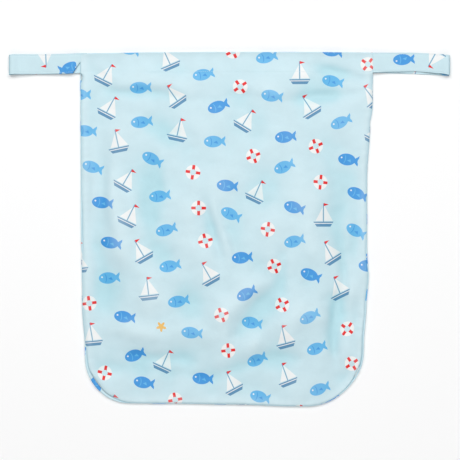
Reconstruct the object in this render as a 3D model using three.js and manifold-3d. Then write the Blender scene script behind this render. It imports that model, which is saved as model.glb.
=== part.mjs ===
// A cloth wet bag for used diapers, lying flat as it does when empty. A front panel and a back panel of
// laminated knit are sewn together round the sides and the bottom and turned, the mouth is hemmed and open,
// and a loop of strap is caught in each side seam beside the mouth.
// Millimetres. X runs across the bag, +Y towards the mouth and +Z up. The origin is on the floor, under the
// centre of the whole footprint, loops included.

import * as THREE from "three";
import { mergeVertices } from "three/addons/utils/BufferGeometryUtils.js";
import Module from "manifold-3d";

// The flat bag's outline
const BAG_WIDTH = 412; // across the mouth, from side seam to side seam
const BAG_LENGTH = 498; // from the mouth to the lowest point of the bottom edge
const LEFT_CORNER = 63; // radius of the bottom left corner
const RIGHT_CORNER = 84; // radius of the bottom right corner

// Cloth and hem
const PANEL_WALL = 1; // laminated knit
const HEM_WALL = 1.8; // the same cloth turned in at the mouth
const HEM_DEPTH = 28; // how far the hem is turned in
const HEM_STEP = 0.6; // over which the hem's raw edge thins to one layer
const GAP = 0.3; // left between pieces that touch

// How the bag stands off the floor
const SEAM_HEIGHT = 2.2; // height of the widest line of the rolled edge
const UNDER_ROLL = 2.5; // how far the edge curls in below that line
const OVER_ROLL = 9; // how far it curls in above
const EDGE_RISE = 5.5; // height of the rolled edge above its widest line
const DOME_RISE = 6; // how much higher the middle lies than the edge
const DOME_REACH = 95; // from the edge to where the front panel is at its full height
const MOUTH_GAPE = 3.2; // how much the middle of the mouth stands open
const MOUTH_GAPE_DEPTH = 60; // how far down from the mouth that reaches
const FOLD_HEIGHT = 1.6; // height of a fold that the table gives as 1
const FOLD_FADE = 16; // distance from the seam over which the folds die out

// Strap loops
const STRAP_WIDTH = 28;
const STRAP_WALL = 1.2; // knit folded into four and stitched flat
const LEFT_REACH = 100; // how far the left loop stands out from the side seam
const RIGHT_REACH = 108;
const LOOP_HEIGHT = 8; // over the loop's turned end
const LOOP_DROP = 0.5; // from the mouth's edge down to the strap's
const ROOT_DEPTH = 10; // how much strap is caught inside the seam
const ROOT_CLEARANCE = 0.3; // round the strap where it passes through the seam
const LAY_DOWN = 22; // from the seam to where the under layer lies on the floor
const TUCK_START = 11; // outside the seam, where the left loop's upper layer starts to tuck under
const TUCK_LEFT = 0.45; // share of its width still on top where it enters the seam
const LEFT_SKEW = 1.7; // how far the left loop swings down at its end
const RIGHT_SKEW_OVER = 3; // the same for the right loop's upper layer
const RIGHT_SKEW_UNDER = 4.6; // and for its under layer

// How far the real outline lies inside the plain one, as shares of the width, down the two sides
const SIDE_INSETS = {
  left: [
    { down: 0, inset: 0 },
    { down: 0.45, inset: 0.002 },
    { down: 0.72, inset: 0.006 },
    { down: 0.85, inset: 0.016 },
    { down: 1, inset: 0.019 },
  ],
  right: [
    { down: 0, inset: 0 },
    { down: 0.15, inset: 0.001 },
    { down: 0.21, inset: 0.01 },
    { down: 0.36, inset: 0.02 },
    { down: 0.57, inset: 0.02 },
    { down: 0.63, inset: 0.014 },
    { down: 0.71, inset: 0.022 },
    { down: 0.83, inset: 0.031 },
    { down: 0.89, inset: 0.028 },
    { down: 1, inset: 0.036 },
  ],
};

// How far the bottom edge lies above its lowest point, as shares of the length
const BOTTOM_LIFT = [
  { across: -0.5, lift: 0.01 },
  { across: -0.2, lift: 0.008 },
  { across: 0.02, lift: 0.0055 },
  { across: 0.25, lift: 0 },
  { across: 0.5, lift: 0.001 },
];

// Where the seam lies in from the bag's widest line, in shares of the width, going round from the left end
// of the mouth to its right end. At the bottom left corner the back panel rolls up over the edge.
const SEAM_WANDER = [
  { round: 0, inset: 0.0025 },
  { round: 0.3, inset: 0.0025 },
  { round: 0.355, inset: 0.017 },
  { round: 0.4, inset: 0.003 },
  { round: 0.62, inset: 0.0025 },
  { round: 0.685, inset: 0.009 },
  { round: 0.75, inset: 0.007 },
  { round: 0.82, inset: 0.0025 },
  { round: 1, inset: 0.0025 },
];

// How full the bag is down its length, as shares of DOME_RISE
const FULLNESS = [
  { down: 0, rise: 0.1 },
  { down: 0.1, rise: 0.55 },
  { down: 0.24, rise: 0.8 },
  { down: 0.5, rise: 1 },
  { down: 0.78, rise: 0.9 },
  { down: 0.9, rise: 0.55 },
  { down: 1, rise: 0.75 },
];

// Soft folds of the front panel. Ends are shares of the width from the centre line and of the length from
// the mouth, spread is a share of the width, and height counts in FOLD_HEIGHT: over 0 a ridge, under 0 a valley.
const FOLDS = [
  { name: "hem ridge, left", x1: -0.42, y1: 0.09, x2: -0.13, y2: 0.1, spread: 0.024, height: 0.6 },
  { name: "hem crease, left", x1: -0.43, y1: 0.119, x2: -0.12, y2: 0.127, spread: 0.014, height: -0.8 },
  { name: "hem crease, right", x1: 0.22, y1: 0.133, x2: 0.46, y2: 0.113, spread: 0.016, height: -0.9 },
  { name: "pull from the left loop", x1: -0.5, y1: 0.025, x2: -0.39, y2: 0.09, spread: 0.013, height: -0.8 },
  { name: "pull from the right loop", x1: 0.5, y1: 0.085, x2: 0.33, y2: 0.034, spread: 0.016, height: -1 },
  { name: "left side roll", x1: -0.468, y1: 0.32, x2: -0.462, y2: 0.7, spread: 0.014, height: 0.7 },
  { name: "left side valley", x1: -0.44, y1: 0.36, x2: -0.436, y2: 0.7, spread: 0.012, height: -0.6 },
  { name: "left shoulder", x1: -0.39, y1: 0.32, x2: -0.38, y2: 0.55, spread: 0.032, height: 0.9 },
  { name: "left hollow", x1: -0.26, y1: 0.3, x2: -0.25, y2: 0.56, spread: 0.04, height: -0.8 },
  { name: "centre crease", x1: -0.06, y1: 0.42, x2: -0.03, y2: 0.58, spread: 0.014, height: 0.5 },
  { name: "slanting ridge", x1: -0.02, y1: 0.76, x2: 0.15, y2: 0.67, spread: 0.028, height: 1 },
  { name: "slanting ridge's end", x1: 0.15, y1: 0.67, x2: 0.17, y2: 0.59, spread: 0.024, height: 0.8 },
  { name: "slanting valley", x1: 0.06, y1: 0.82, x2: 0.23, y2: 0.72, spread: 0.03, height: -0.9 },
  { name: "right side ridge", x1: 0.42, y1: 0.43, x2: 0.43, y2: 0.66, spread: 0.024, height: 0.9 },
  { name: "right side valley", x1: 0.415, y1: 0.69, x2: 0.42, y2: 0.84, spread: 0.014, height: -0.7 },
  { name: "bottom shoulder, left", x1: -0.34, y1: 0.8, x2: -0.08, y2: 0.83, spread: 0.035, height: 0.9 },
  { name: "bottom valley, left", x1: -0.37, y1: 0.905, x2: -0.08, y2: 0.92, spread: 0.028, height: -1 },
  { name: "bottom valley, right", x1: -0.08, y1: 0.92, x2: 0.21, y2: 0.86, spread: 0.02, height: -0.8 },
  { name: "bottom roll", x1: -0.32, y1: 0.965, x2: 0.24, y2: 0.97, spread: 0.024, height: 0.8 },
];

// Steps of the mesh, in from an edge of a panel and between them
const EDGE_STEPS = [1.2, 3.2, 6.2, 10.5, 17];
const OPEN_STEP = 17.5;
const ROLL_STEPS = 3; // over each quarter of the rolled edge

const clamp01 = (value) => Math.min(1, Math.max(0, value));
const ease = (value) => clamp01(value) ** 2 * (3 - 2 * clamp01(value));

// Reads a table between its rows, easing from row to row.
function read(rows, key, column, at) {
  const next = rows.findIndex((row) => row[key] >= at);
  if (next === 0) return rows[0][column];
  if (next < 0) return rows.at(-1)[column];
  const [a, b] = [rows[next - 1], rows[next]];
  return a[column] + (b[column] - a[column]) * ease((at - a[key]) / (b[key] - a[key]));
}

// The plain outline is a rectangle with two round corners, open at the mouth. A point is placed on it first
// and then shifted by warp(), which gives the wavering outline of the real bag.
const downOf = (y) => 0.5 - y / BAG_LENGTH;

function warp([x, y, z]) {
  const down = clamp01(downOf(y));
  const inset = read(x < 0 ? SIDE_INSETS.left : SIDE_INSETS.right, "down", "inset", down);
  const lift = read(BOTTOM_LIFT, "across", "lift", x / BAG_WIDTH);
  return [x * (1 - 2 * inset), y + down * lift * BAG_LENGTH, z];
}

// The plain outline as three runs, each from 0 to 1: down the left side to the middle of its corner, along
// the bottom, and up the right side. Gives a point, the way out from it and its share of the way round.
const SIDE_RUNS = { left: BAG_LENGTH - LEFT_CORNER, right: BAG_LENGTH - RIGHT_CORNER };
const HALF_CORNERS = { left: (LEFT_CORNER * Math.PI) / 4, right: (RIGHT_CORNER * Math.PI) / 4 };
const BOTTOM_RUN = BAG_WIDTH - LEFT_CORNER - RIGHT_CORNER;
const ROUND_LENGTHS = {
  left: SIDE_RUNS.left + HALF_CORNERS.left,
  bottom: HALF_CORNERS.left + BOTTOM_RUN + HALF_CORNERS.right,
  right: HALF_CORNERS.right + SIDE_RUNS.right,
};
const WHOLE_ROUND = ROUND_LENGTHS.left + ROUND_LENGTHS.bottom + ROUND_LENGTHS.right;

function outline(run, share) {
  const before = { left: 0, bottom: ROUND_LENGTHS.left, right: ROUND_LENGTHS.left + ROUND_LENGTHS.bottom };
  const travelled = before[run] + share * ROUND_LENGTHS[run];
  const bottomStart = SIDE_RUNS.left + 2 * HALF_CORNERS.left;
  const bottomEnd = bottomStart + BOTTOM_RUN;
  const rightStart = bottomEnd + 2 * HALF_CORNERS.right;
  const round = travelled / WHOLE_ROUND;
  const [halfWidth, halfLength] = [BAG_WIDTH / 2, BAG_LENGTH / 2];
  if (travelled <= SIDE_RUNS.left) return { point: [-halfWidth, halfLength - travelled], out: [-1, 0], round };
  if (travelled >= rightStart) {
    return { point: [halfWidth, -halfLength + RIGHT_CORNER + travelled - rightStart], out: [1, 0], round };
  }
  if (travelled >= bottomStart && travelled <= bottomEnd) {
    return { point: [-halfWidth + LEFT_CORNER + travelled - bottomStart, -halfLength], out: [0, -1], round };
  }
  const isLeft = travelled < bottomStart;
  const radius = isLeft ? LEFT_CORNER : RIGHT_CORNER;
  const turn = isLeft
    ? Math.PI + (travelled - SIDE_RUNS.left) / radius
    : 1.5 * Math.PI + (travelled - bottomEnd) / radius;
  const out = [Math.cos(turn), Math.sin(turn)];
  const centre = [(isLeft ? -1 : 1) * (halfWidth - radius), radius - halfLength];
  return { point: centre.map((value, axis) => value + radius * out[axis]), out, round };
}

const insideOutline = ({ point, out }, inset) => point.map((value, axis) => value - inset * out[axis]);
const seamInset = (round) => BAG_WIDTH * read(SEAM_WANDER, "round", "inset", round);

// Distance from a point to the plain outline, leaving out the mouth.
function depthInside(x, y) {
  const radius = x < 0 ? LEFT_CORNER : RIGHT_CORNER;
  const across = Math.abs(x) - BAG_WIDTH / 2 + radius;
  const down = radius - BAG_LENGTH / 2 - y;
  const beyond = Math.hypot(Math.max(across, 0), Math.max(down, 0));
  return radius - beyond - Math.min(Math.max(across, down), 0);
}

function foldHeight(x, y) {
  return FOLDS.reduce((sum, fold) => {
    const start = [fold.x1 * BAG_WIDTH, (0.5 - fold.y1) * BAG_LENGTH];
    const along = [fold.x2 * BAG_WIDTH - start[0], (0.5 - fold.y2) * BAG_LENGTH - start[1]];
    const lengthSquared = along[0] ** 2 + along[1] ** 2;
    const share = clamp01(((x - start[0]) * along[0] + (y - start[1]) * along[1]) / lengthSquared);
    const away = Math.hypot(x - start[0] - share * along[0], y - start[1] - share * along[1]);
    return sum + fold.height * Math.exp(-((away / (fold.spread * BAG_WIDTH)) ** 2));
  }, 0);
}

// Height of the bag's upper surface over a point of the plain outline.
function topHeight(x, y) {
  const depth = depthInside(x, y);
  const roll = EDGE_RISE * Math.sqrt(1 - (1 - clamp01(depth / OVER_ROLL)) ** 2);
  const fromSide = BAG_WIDTH / 2 - Math.abs(x);
  const fromBottom = y + BAG_LENGTH / 2;
  const dome = ease(fromSide / DOME_REACH) * ease(fromBottom / DOME_REACH);
  const full = DOME_RISE * read(FULLNESS, "down", "rise", downOf(y));
  const gape = MOUTH_GAPE * Math.exp(-(((BAG_LENGTH / 2 - y) / MOUTH_GAPE_DEPTH) ** 2));
  const folds = FOLD_HEIGHT * foldHeight(x, y) * ease(depth / FOLD_FADE);
  return SEAM_HEIGHT + roll + dome * (full + gape) + folds;
}

const wallAt = (y) => {
  const pastHem = (BAG_LENGTH / 2 - y - HEM_DEPTH) / HEM_STEP;
  return HEM_WALL + (PANEL_WALL - HEM_WALL) * clamp01(pastHem);
};

// A point of cloth: its printed face, and its inner face one wall further in.
function clothPoint(outer, outward) {
  const length = Math.hypot(...outward);
  const wall = wallAt(outer[1]);
  return { out: warp(outer), in: warp(outer.map((value, axis) => value - (wall * outward[axis]) / length)) };
}

function frontPoint([x, y], isMouth) {
  const step = 0.2;
  const slopeX = (topHeight(x + step, y) - topHeight(x - step, y)) / (2 * step);
  const slopeY = isMouth ? 0 : (topHeight(x, y + step) - topHeight(x, y - step)) / (2 * step);
  return clothPoint([x, y, topHeight(x, y)], [-slopeX, -slopeY, 1]);
}

// Stations across or down a panel, as shares: close together at the edges and even between them.
function stations(length, atStart, atEnd) {
  const [first, last] = [atStart.at(-1), length - atEnd.at(-1)];
  const count = Math.round((last - first) / OPEN_STEP);
  const between = Array.from({ length: count - 1 }, (_, i) => first + ((last - first) * (i + 1)) / count);
  const ends = atEnd.map((step) => length - step).reverse();
  return [0, ...atStart, ...between, ...ends, length].map((at) => at / length);
}

const COLUMNS = stations(BAG_WIDTH, EDGE_STEPS, EDGE_STEPS);
const ROWS = stations(BAG_LENGTH, [HEM_DEPTH / 2, HEM_DEPTH, HEM_DEPTH + HEM_STEP], EDGE_STEPS);

// A grid of plain points that fills the outline, drawn in by inset(round) from it, and follows its edges.
function fillOutline(inset) {
  const edge = (run, share) => {
    const place = outline(run, share);
    return insideOutline(place, inset(place.round));
  };
  const corners = [edge("left", 0), edge("right", 1), edge("left", 1), edge("right", 0)];
  return ROWS.map((v) =>
    COLUMNS.map((u) =>
      [0, 1].map((axis) => {
        const mouth = corners[0][axis] * (1 - u) + corners[1][axis] * u;
        const low = edge("bottom", u)[axis];
        const sides = edge("left", v)[axis] * (1 - u) + edge("right", 1 - v)[axis] * u;
        const foot = corners[2][axis] * (1 - u) + corners[3][axis] * u;
        return mouth * (1 - v) + low * v + sides - mouth * (1 - v) - foot * v;
      }),
    ),
  );
}

// The stations round the sides and the bottom, from the left end of the mouth to its right end.
const ROUND_STATIONS = [
  ...ROWS.map((share) => outline("left", share)),
  ...COLUMNS.slice(1).map((share) => outline("bottom", share)),
  ...ROWS.slice(0, -1).reverse().map((share) => outline("right", 1 - share)),
];
const gridEdge = (grid) => [
  ...grid.map((row) => row[0]),
  ...grid.at(-1).slice(1),
  ...grid.slice(0, -1).reverse().map((row) => row.at(-1)),
];

// Joins the triangles that draw() hands it into one solid.
const wasm = await Module();
wasm.setup();

function solid(draw) {
  const positions = [];
  const quad = (a, b, c, d) => positions.push(...a, ...b, ...c, ...a, ...c, ...d);
  draw(quad);
  const loose = new THREE.BufferGeometry();
  loose.setAttribute("position", new THREE.Float32BufferAttribute(positions, 3));
  return manifoldOf(loose);
}

function manifoldOf(geometry) {
  const merged = mergeVertices(geometry, 1e-3);
  const triVerts = new Uint32Array(merged.index.array);
  const mesh = new wasm.Mesh({ numProp: 3, vertProperties: merged.attributes.position.array, triVerts });
  return new wasm.Manifold(mesh);
}

// A panel of cloth: a grid with, outside it, rings that carry it round the rolled edge. The printed face
// looks up, or down where the panel is turned over.
function panelSolid(grid, rings, isTurned) {
  return solid((quad) => {
    const face = (a, b, c, d) => (isTurned ? quad(d, c, b, a) : quad(a, b, c, d));
    const bothFaces = (a, b, c, d) => {
      face(a.out, b.out, c.out, d.out);
      face(d.in, c.in, b.in, a.in);
    };
    for (let j = 0; j + 1 < grid.length; j++) {
      for (let i = 0; i + 1 < grid[j].length; i++) {
        bothFaces(grid[j][i], grid[j + 1][i], grid[j + 1][i + 1], grid[j][i + 1]);
      }
    }
    const allRings = [gridEdge(grid), ...rings];
    for (let k = 0; k + 1 < allRings.length; k++) {
      const [ring, next] = [allRings[k], allRings[k + 1]];
      for (let i = 0; i + 1 < ring.length; i++) bothFaces(ring[i], next[i], next[i + 1], ring[i + 1]);
    }
    const rim = allRings.at(-1);
    for (let i = 0; i + 1 < rim.length; i++) face(rim[i].out, rim[i].in, rim[i + 1].in, rim[i + 1].out);
    const mouth = [
      ...[...rings].reverse().map((ring) => ring[0]),
      ...grid[0],
      ...rings.map((ring) => ring.at(-1)),
    ];
    for (let i = 0; i + 1 < mouth.length; i++) {
      face(mouth[i].out, mouth[i + 1].out, mouth[i + 1].in, mouth[i].in);
    }
  });
}

// The front panel lies on top and ends at the seam.
function frontPanel() {
  const plain = fillOutline((round) => seamInset(round) + GAP / 2);
  return panelSolid(plain.map((row, j) => row.map((point) => frontPoint(point, j === 0))), [], false);
}

// The back panel lies flat on the floor, curls up round the edge and ends at the seam.
function backPanel() {
  const plain = fillOutline(() => UNDER_ROLL);
  const flat = plain.map((row) => row.map(([x, y]) => clothPoint([x, y, 0], [0, 0, -1])));
  const rollPoint = (place, turn) => {
    const [reach, rise] = turn < 0 ? [UNDER_ROLL, SEAM_HEIGHT] : [OVER_ROLL, EDGE_RISE];
    const [x, y] = insideOutline(place, reach * (1 - Math.cos(turn)));
    const tilt = [Math.cos(turn) / reach, Math.sin(turn) / rise];
    const outward = [place.out[0] * tilt[0], place.out[1] * tilt[0], tilt[1]];
    return clothPoint([x, y, SEAM_HEIGHT + rise * Math.sin(turn)], outward);
  };
  const under = Array.from({ length: ROLL_STEPS }, (_, k) =>
    ROUND_STATIONS.map((place) => rollPoint(place, (Math.PI / 2) * ((k + 1) / ROLL_STEPS - 1))),
  );
  const over = Array.from({ length: ROLL_STEPS - 1 }, (_, k) =>
    ROUND_STATIONS.map((place) => {
      const seamTurn = Math.acos(1 - (seamInset(place.round) - GAP / 2) / OVER_ROLL);
      return rollPoint(place, (seamTurn * (k + 1)) / (ROLL_STEPS - 1));
    }),
  );
  return panelSolid(flat, [...under, ...over], true);
}

// A strap loop as stations from the seam, along the upper layer, round the turned end and back along the
// under layer. away is the distance outside the side seam, height that of the strap's middle.
const LOOP_TURN = (LOOP_HEIGHT - STRAP_WALL) / 2;
const ROOT_HEIGHT = HEM_WALL + ROOT_CLEARANCE + STRAP_WALL; // where the two layers meet in the seam
const UPPER_SHARES = [0, 0.03, 0.08, 0.14, 0.25, 0.4, 0.6, 0.8, 0.93, 1];
const UNDER_SHARES = [1, 0.8, 0.6, 0.42, 0.3, 0.2, 0.1, 0.04, 0];
const TURN_STEPS = 7;
const SWELL_SHARE = 0.45; // of the reach, over which the upper layer climbs to its full height

function loopStations(reach) {
  const flatReach = reach - LOOP_TURN - STRAP_WALL / 2;
  const floor = STRAP_WALL / 2;
  const upper = UPPER_SHARES.map((share) => {
    const climb = ease(share / SWELL_SHARE);
    const start = ROOT_HEIGHT + STRAP_WALL / 2;
    return { away: share * flatReach, height: start + climb * (LOOP_HEIGHT - floor - start), layer: "upper" };
  });
  const turned = Array.from({ length: TURN_STEPS }, (_, i) => {
    const angle = (Math.PI * (i + 1)) / (TURN_STEPS + 1);
    const away = flatReach + LOOP_TURN * Math.sin(angle);
    return { away, height: floor + LOOP_TURN * (1 + Math.cos(angle)), layer: "turn" };
  });
  const under = UNDER_SHARES.map((share) => {
    const away = share * flatReach;
    const start = ROOT_HEIGHT - STRAP_WALL / 2;
    return { away, height: start + ease(away / LAY_DOWN) * (floor - start), layer: "under" };
  });
  return [...upper, ...turned, ...under];
}

// How far the strap's lower edge and its middle move in the plane of the bag, at a station.
function leftShift({ away, layer }) {
  const tucked = layer === "upper" ? (1 - TUCK_LEFT) * clamp01(1 - away / TUCK_START) : 0;
  return { low: tucked * STRAP_WIDTH, swing: -LEFT_SKEW * clamp01(away / LEFT_REACH) };
}

function rightShift({ away, layer }, index, path) {
  const share = clamp01(away / RIGHT_REACH);
  const over = -RIGHT_SKEW_OVER * share ** 3;
  const under = -RIGHT_SKEW_UNDER * share;
  if (layer === "upper") return { low: 0, swing: over };
  if (layer === "under") return { low: 0, swing: under };
  const turnStart = path.findIndex((station) => station.layer === "turn");
  return { low: 0, swing: over + ((under - over) * (index - turnStart + 1)) / (TURN_STEPS + 1) };
}

function strapLoop(side, reach, shift) {
  const path = loopStations(reach);
  const top = BAG_LENGTH / 2 - LOOP_DROP;
  const sections = path.map((station, index) => {
    const before = path[Math.max(index - 1, 0)];
    const after = path[Math.min(index + 1, path.length - 1)];
    const run = [after.away - before.away, after.height - before.height];
    const length = Math.hypot(...run);
    const normal = [-run[1] / length, run[0] / length]; // points out of the loop
    const { low, swing } = shift(station, index, path);
    const corner = (y, out) => [
      side * (BAG_WIDTH / 2 + station.away + (out * normal[0] * STRAP_WALL) / 2),
      y,
      station.height + (out * normal[1] * STRAP_WALL) / 2,
    ];
    const [lowY, highY] = [top - STRAP_WIDTH + low + swing, top + swing];
    return [corner(lowY, 1), corner(highY, 1), corner(highY, -1), corner(lowY, -1)];
  });
  const band = solid((quad) => {
    const face = (a, b, c, d) => (side > 0 ? quad(a, b, c, d) : quad(d, c, b, a));
    for (let k = 0; k + 1 < sections.length; k++) {
      const [here, next] = [sections[k], sections[k + 1]];
      for (let i = 0; i < 4; i++) {
        face(here[i], next[i], next[(i + 1) % 4], here[(i + 1) % 4]);
      }
    }
    face(...sections[0]);
    face(...[...sections.at(-1)].reverse());
  });
  const [overlap, rootHeight] = [0.2, 2 * STRAP_WALL];
  const root = block([ROOT_DEPTH + overlap, STRAP_WIDTH, rootHeight], [
    side * (BAG_WIDTH / 2 - (ROOT_DEPTH - overlap) / 2),
    top - STRAP_WIDTH / 2,
    ROOT_HEIGHT,
  ]);
  return band.add(root);
}

function block(size, centre) {
  const geometry = new THREE.BoxGeometry(...size);
  geometry.deleteAttribute("normal");
  geometry.deleteAttribute("uv");
  geometry.translate(...centre);
  return manifoldOf(geometry);
}

// The slot that a strap takes through the side seam, open towards the mouth.
function strapSlot(side) {
  const margin = 5;
  const length = ROOT_DEPTH + ROOT_CLEARANCE + margin;
  const width = LOOP_DROP + STRAP_WIDTH + ROOT_CLEARANCE + margin;
  const height = 2 * (STRAP_WALL + ROOT_CLEARANCE);
  return block([length, width, height], [
    side * (BAG_WIDTH / 2 + (margin - ROOT_DEPTH - ROOT_CLEARANCE) / 2),
    BAG_LENGTH / 2 + (margin - LOOP_DROP - STRAP_WIDTH - ROOT_CLEARANCE) / 2,
    ROOT_HEIGHT,
  ]);
}

// The finished pieces
const printedKnit = new THREE.MeshStandardMaterial({ color: 0xcfe6ea, roughness: 0.6, metalness: 0 });
const printedStrap = new THREE.MeshStandardMaterial({ color: 0xcfe6ea, roughness: 0.65, metalness: 0 });

function piece(name, shape, material) {
  const { numProp, vertProperties, triVerts } = shape.getMesh();
  const geometry = new THREE.BufferGeometry();
  geometry.setAttribute("position", new THREE.BufferAttribute(new Float32Array(vertProperties), numProp));
  geometry.setIndex(new THREE.BufferAttribute(new Uint32Array(triVerts), 1));
  const mesh = new THREE.Mesh(geometry, material);
  mesh.name = name;
  return mesh;
}

const slots = strapSlot(-1).add(strapSlot(1));
const bag = new THREE.Group();
bag.add(piece("front_panel", frontPanel().subtract(slots), printedKnit));
bag.add(piece("back_panel", backPanel().subtract(slots), printedKnit));
bag.add(piece("left_loop", strapLoop(-1, LEFT_REACH, leftShift), printedStrap));
bag.add(piece("right_loop", strapLoop(1, RIGHT_REACH, rightShift), printedStrap));
bag.position.x = (LEFT_REACH - RIGHT_REACH) / 2; // the longer loop moves the footprint's centre

export default bag;
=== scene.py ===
# %% [markdown]
# # A cloth wet bag, lying flat
#
# The real bag is sewn from knit that is printed on one side and laminated with a thin film on the other.
# Two panels are joined round the sides and the bottom, the mouth is hemmed, and a strap loop is caught in
# each side seam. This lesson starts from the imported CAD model, which fixes every size, and makes each
# soft piece again with finer folds, real edges and a printed cloth material.

# %% Load the frame
import math

import bpy
import numpy as np
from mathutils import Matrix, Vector


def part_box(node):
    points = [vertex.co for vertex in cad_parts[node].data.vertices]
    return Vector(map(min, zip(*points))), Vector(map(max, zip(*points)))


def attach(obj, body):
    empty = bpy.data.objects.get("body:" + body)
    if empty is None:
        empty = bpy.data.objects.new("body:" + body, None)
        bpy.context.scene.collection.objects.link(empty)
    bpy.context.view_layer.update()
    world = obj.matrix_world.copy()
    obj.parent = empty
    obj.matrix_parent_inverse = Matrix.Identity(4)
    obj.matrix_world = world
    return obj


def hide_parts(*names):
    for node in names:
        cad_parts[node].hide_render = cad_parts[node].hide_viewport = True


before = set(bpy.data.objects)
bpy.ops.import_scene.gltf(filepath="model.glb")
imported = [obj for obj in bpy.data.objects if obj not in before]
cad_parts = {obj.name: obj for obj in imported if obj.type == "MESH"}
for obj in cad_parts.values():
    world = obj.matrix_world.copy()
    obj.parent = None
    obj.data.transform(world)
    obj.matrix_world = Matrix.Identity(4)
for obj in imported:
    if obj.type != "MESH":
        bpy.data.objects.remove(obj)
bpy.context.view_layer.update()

MM = 0.001
(back_low, back_high), (left_low, left_high), (_, right_high) = (
    [np.array(corner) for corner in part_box(node)] for node in ("back_panel", "left_loop", "right_loop"))
bag_width, bag_length = (back_high - back_low)[:2]
bag_centre = (back_high + back_low)[:2] / 2
left_reach = bag_centre[0] - bag_width / 2 - left_low[0]
right_reach = right_high[0] - bag_centre[0] - bag_width / 2
print(f"bag {bag_width / MM:.0f} by {bag_length / MM:.0f} mm, loops reach {left_reach / MM:.0f} "
      f"and {right_reach / MM:.0f} mm")

# %% [markdown]
# ## The outline
#
# Laid flat, the bag is a rectangle with two round bottom corners, and its sides waver a little where the
# cloth pulls. Drawn point by point, that shape would be hard to change. Here a plain outline is worked
# out from the width, the length and two radii, and short tables then push it in or out by a share of the
# size.

# %% Short tables, and how to read them
LEFT_CORNER = 63 * MM
RIGHT_CORNER = 84 * MM

# How far each side lies inside the plain outline, in shares of the width, down the length
LEFT_INSETS = [(0, 0), (0.45, 0.002), (0.72, 0.006), (0.85, 0.016), (1, 0.019)]
RIGHT_INSETS = [
    (0, 0), (0.15, 0.001), (0.21, 0.01), (0.36, 0.02), (0.57, 0.02),
    (0.63, 0.014), (0.71, 0.022), (0.83, 0.031), (0.89, 0.028), (1, 0.036),
]
# How far the bottom edge lies above its lowest point, in shares of the length, across the width
BOTTOM_LIFTS = [(-0.5, 0.01), (-0.2, 0.008), (0.02, 0.0055), (0.25, 0), (0.5, 0.001)]
# How far the mouth dips below its highest point, in shares of the length, across the width
MOUTH_DROPS = [(-0.5, 0.0045), (-0.44, 0.0036), (-0.25, 0.0012), (0, 0), (0.3, 0.0002), (0.5, 0.0016)]
MOUTH_DROP_REACH = 0.09
# How far the seam lies in from the widest line, in shares of the width, going round from left to right
SEAM_INSETS = [
    (0, 0.0012), (0.02, 0.0016), (0.0235, 0.0052), (0.0275, 0.0048), (0.033, 0.0014), (0.06, 0.0008),
    (0.14, 0.001), (0.17, 0.005), (0.2, 0.0055), (0.23, 0.0012), (0.3, 0.001), (0.33, 0.008), (0.352, 0.015),
    (0.375, 0.009), (0.4, 0.001), (0.6, 0.0008), (0.635, 0.003), (0.664, 0.007), (0.69, 0.006),
    (0.73, 0.005), (0.76, 0.003), (0.79, 0.0035), (0.82, 0.001), (1, 0.001),
]


def ease(share):
    """Goes smoothly from 0 to 1."""
    share = np.clip(share, 0, 1)
    return share * share * (3 - 2 * share)


def read_table(rows, at):
    """Reads a table of (place, value) rows at any place, easing from row to row."""
    places, values = np.array(rows, dtype=float).T
    row = np.clip(np.searchsorted(places, at, side="right") - 1, 0, len(rows) - 2)
    share = ease((at - places[row]) / (places[row + 1] - places[row]))
    return values[row] + (values[row + 1] - values[row]) * share


def waver(points):
    """Moves points of the plain bag, centred on it, to where the real bag has them."""
    x, y, z = np.moveaxis(points, -1, 0)
    down = np.clip(0.5 - y / bag_length, 0, 1)
    inset = np.where(x < 0, read_table(LEFT_INSETS, down), read_table(RIGHT_INSETS, down))
    lift = down * read_table(BOTTOM_LIFTS, x / bag_width)
    drop = read_table(MOUTH_DROPS, x / bag_width) * np.exp(-((0.5 - y / bag_length) / MOUTH_DROP_REACH) ** 2)
    moved_y = y + (lift - drop) * bag_length
    return np.stack([x * (1 - 2 * inset) + bag_centre[0], moved_y + bag_centre[1], z], -1)


# %% The plain outline, walked from the left end of the mouth round to its right end
half_width, half_length = bag_width / 2, bag_length / 2
left_straight = bag_length - LEFT_CORNER
right_straight = bag_length - RIGHT_CORNER
bottom_straight = bag_width - LEFT_CORNER - RIGHT_CORNER
left_arc, right_arc = LEFT_CORNER * math.pi / 2, RIGHT_CORNER * math.pi / 2
left_run = left_straight + left_arc / 2
bottom_run = bottom_straight + (left_arc + right_arc) / 2
right_run = right_straight + right_arc / 2
whole_run = left_run + bottom_run + right_run


def outline(travelled):
    """Gives points of the plain outline, and the way out from it, at distances along it."""
    travelled = np.asarray(travelled, dtype=float)
    bottom_start = left_straight + left_arc
    bottom_end = bottom_start + bottom_straight
    legs = [travelled <= end for end in (left_straight, bottom_start, bottom_end, bottom_end + right_arc)]
    left_turn = math.pi + (travelled - left_straight) / LEFT_CORNER
    right_turn = 1.5 * math.pi + (travelled - bottom_end) / RIGHT_CORNER
    turn = np.select(legs, [math.pi, left_turn, 1.5 * math.pi, right_turn], 2 * math.pi)
    out = np.stack([np.cos(turn), np.sin(turn)], -1)
    x = np.select(legs, [
        -half_width,
        LEFT_CORNER * (1 + out[..., 0]) - half_width,
        travelled - bottom_start + LEFT_CORNER - half_width,
        half_width - RIGHT_CORNER * (1 - out[..., 0]),
    ], half_width)
    y = np.select(legs, [
        half_length - travelled,
        LEFT_CORNER * (1 + out[..., 1]) - half_length,
        -half_length,
        RIGHT_CORNER * (1 + out[..., 1]) - half_length,
    ], RIGHT_CORNER - half_length + travelled - bottom_end - right_arc)
    return np.stack([x, y], -1), out


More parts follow.
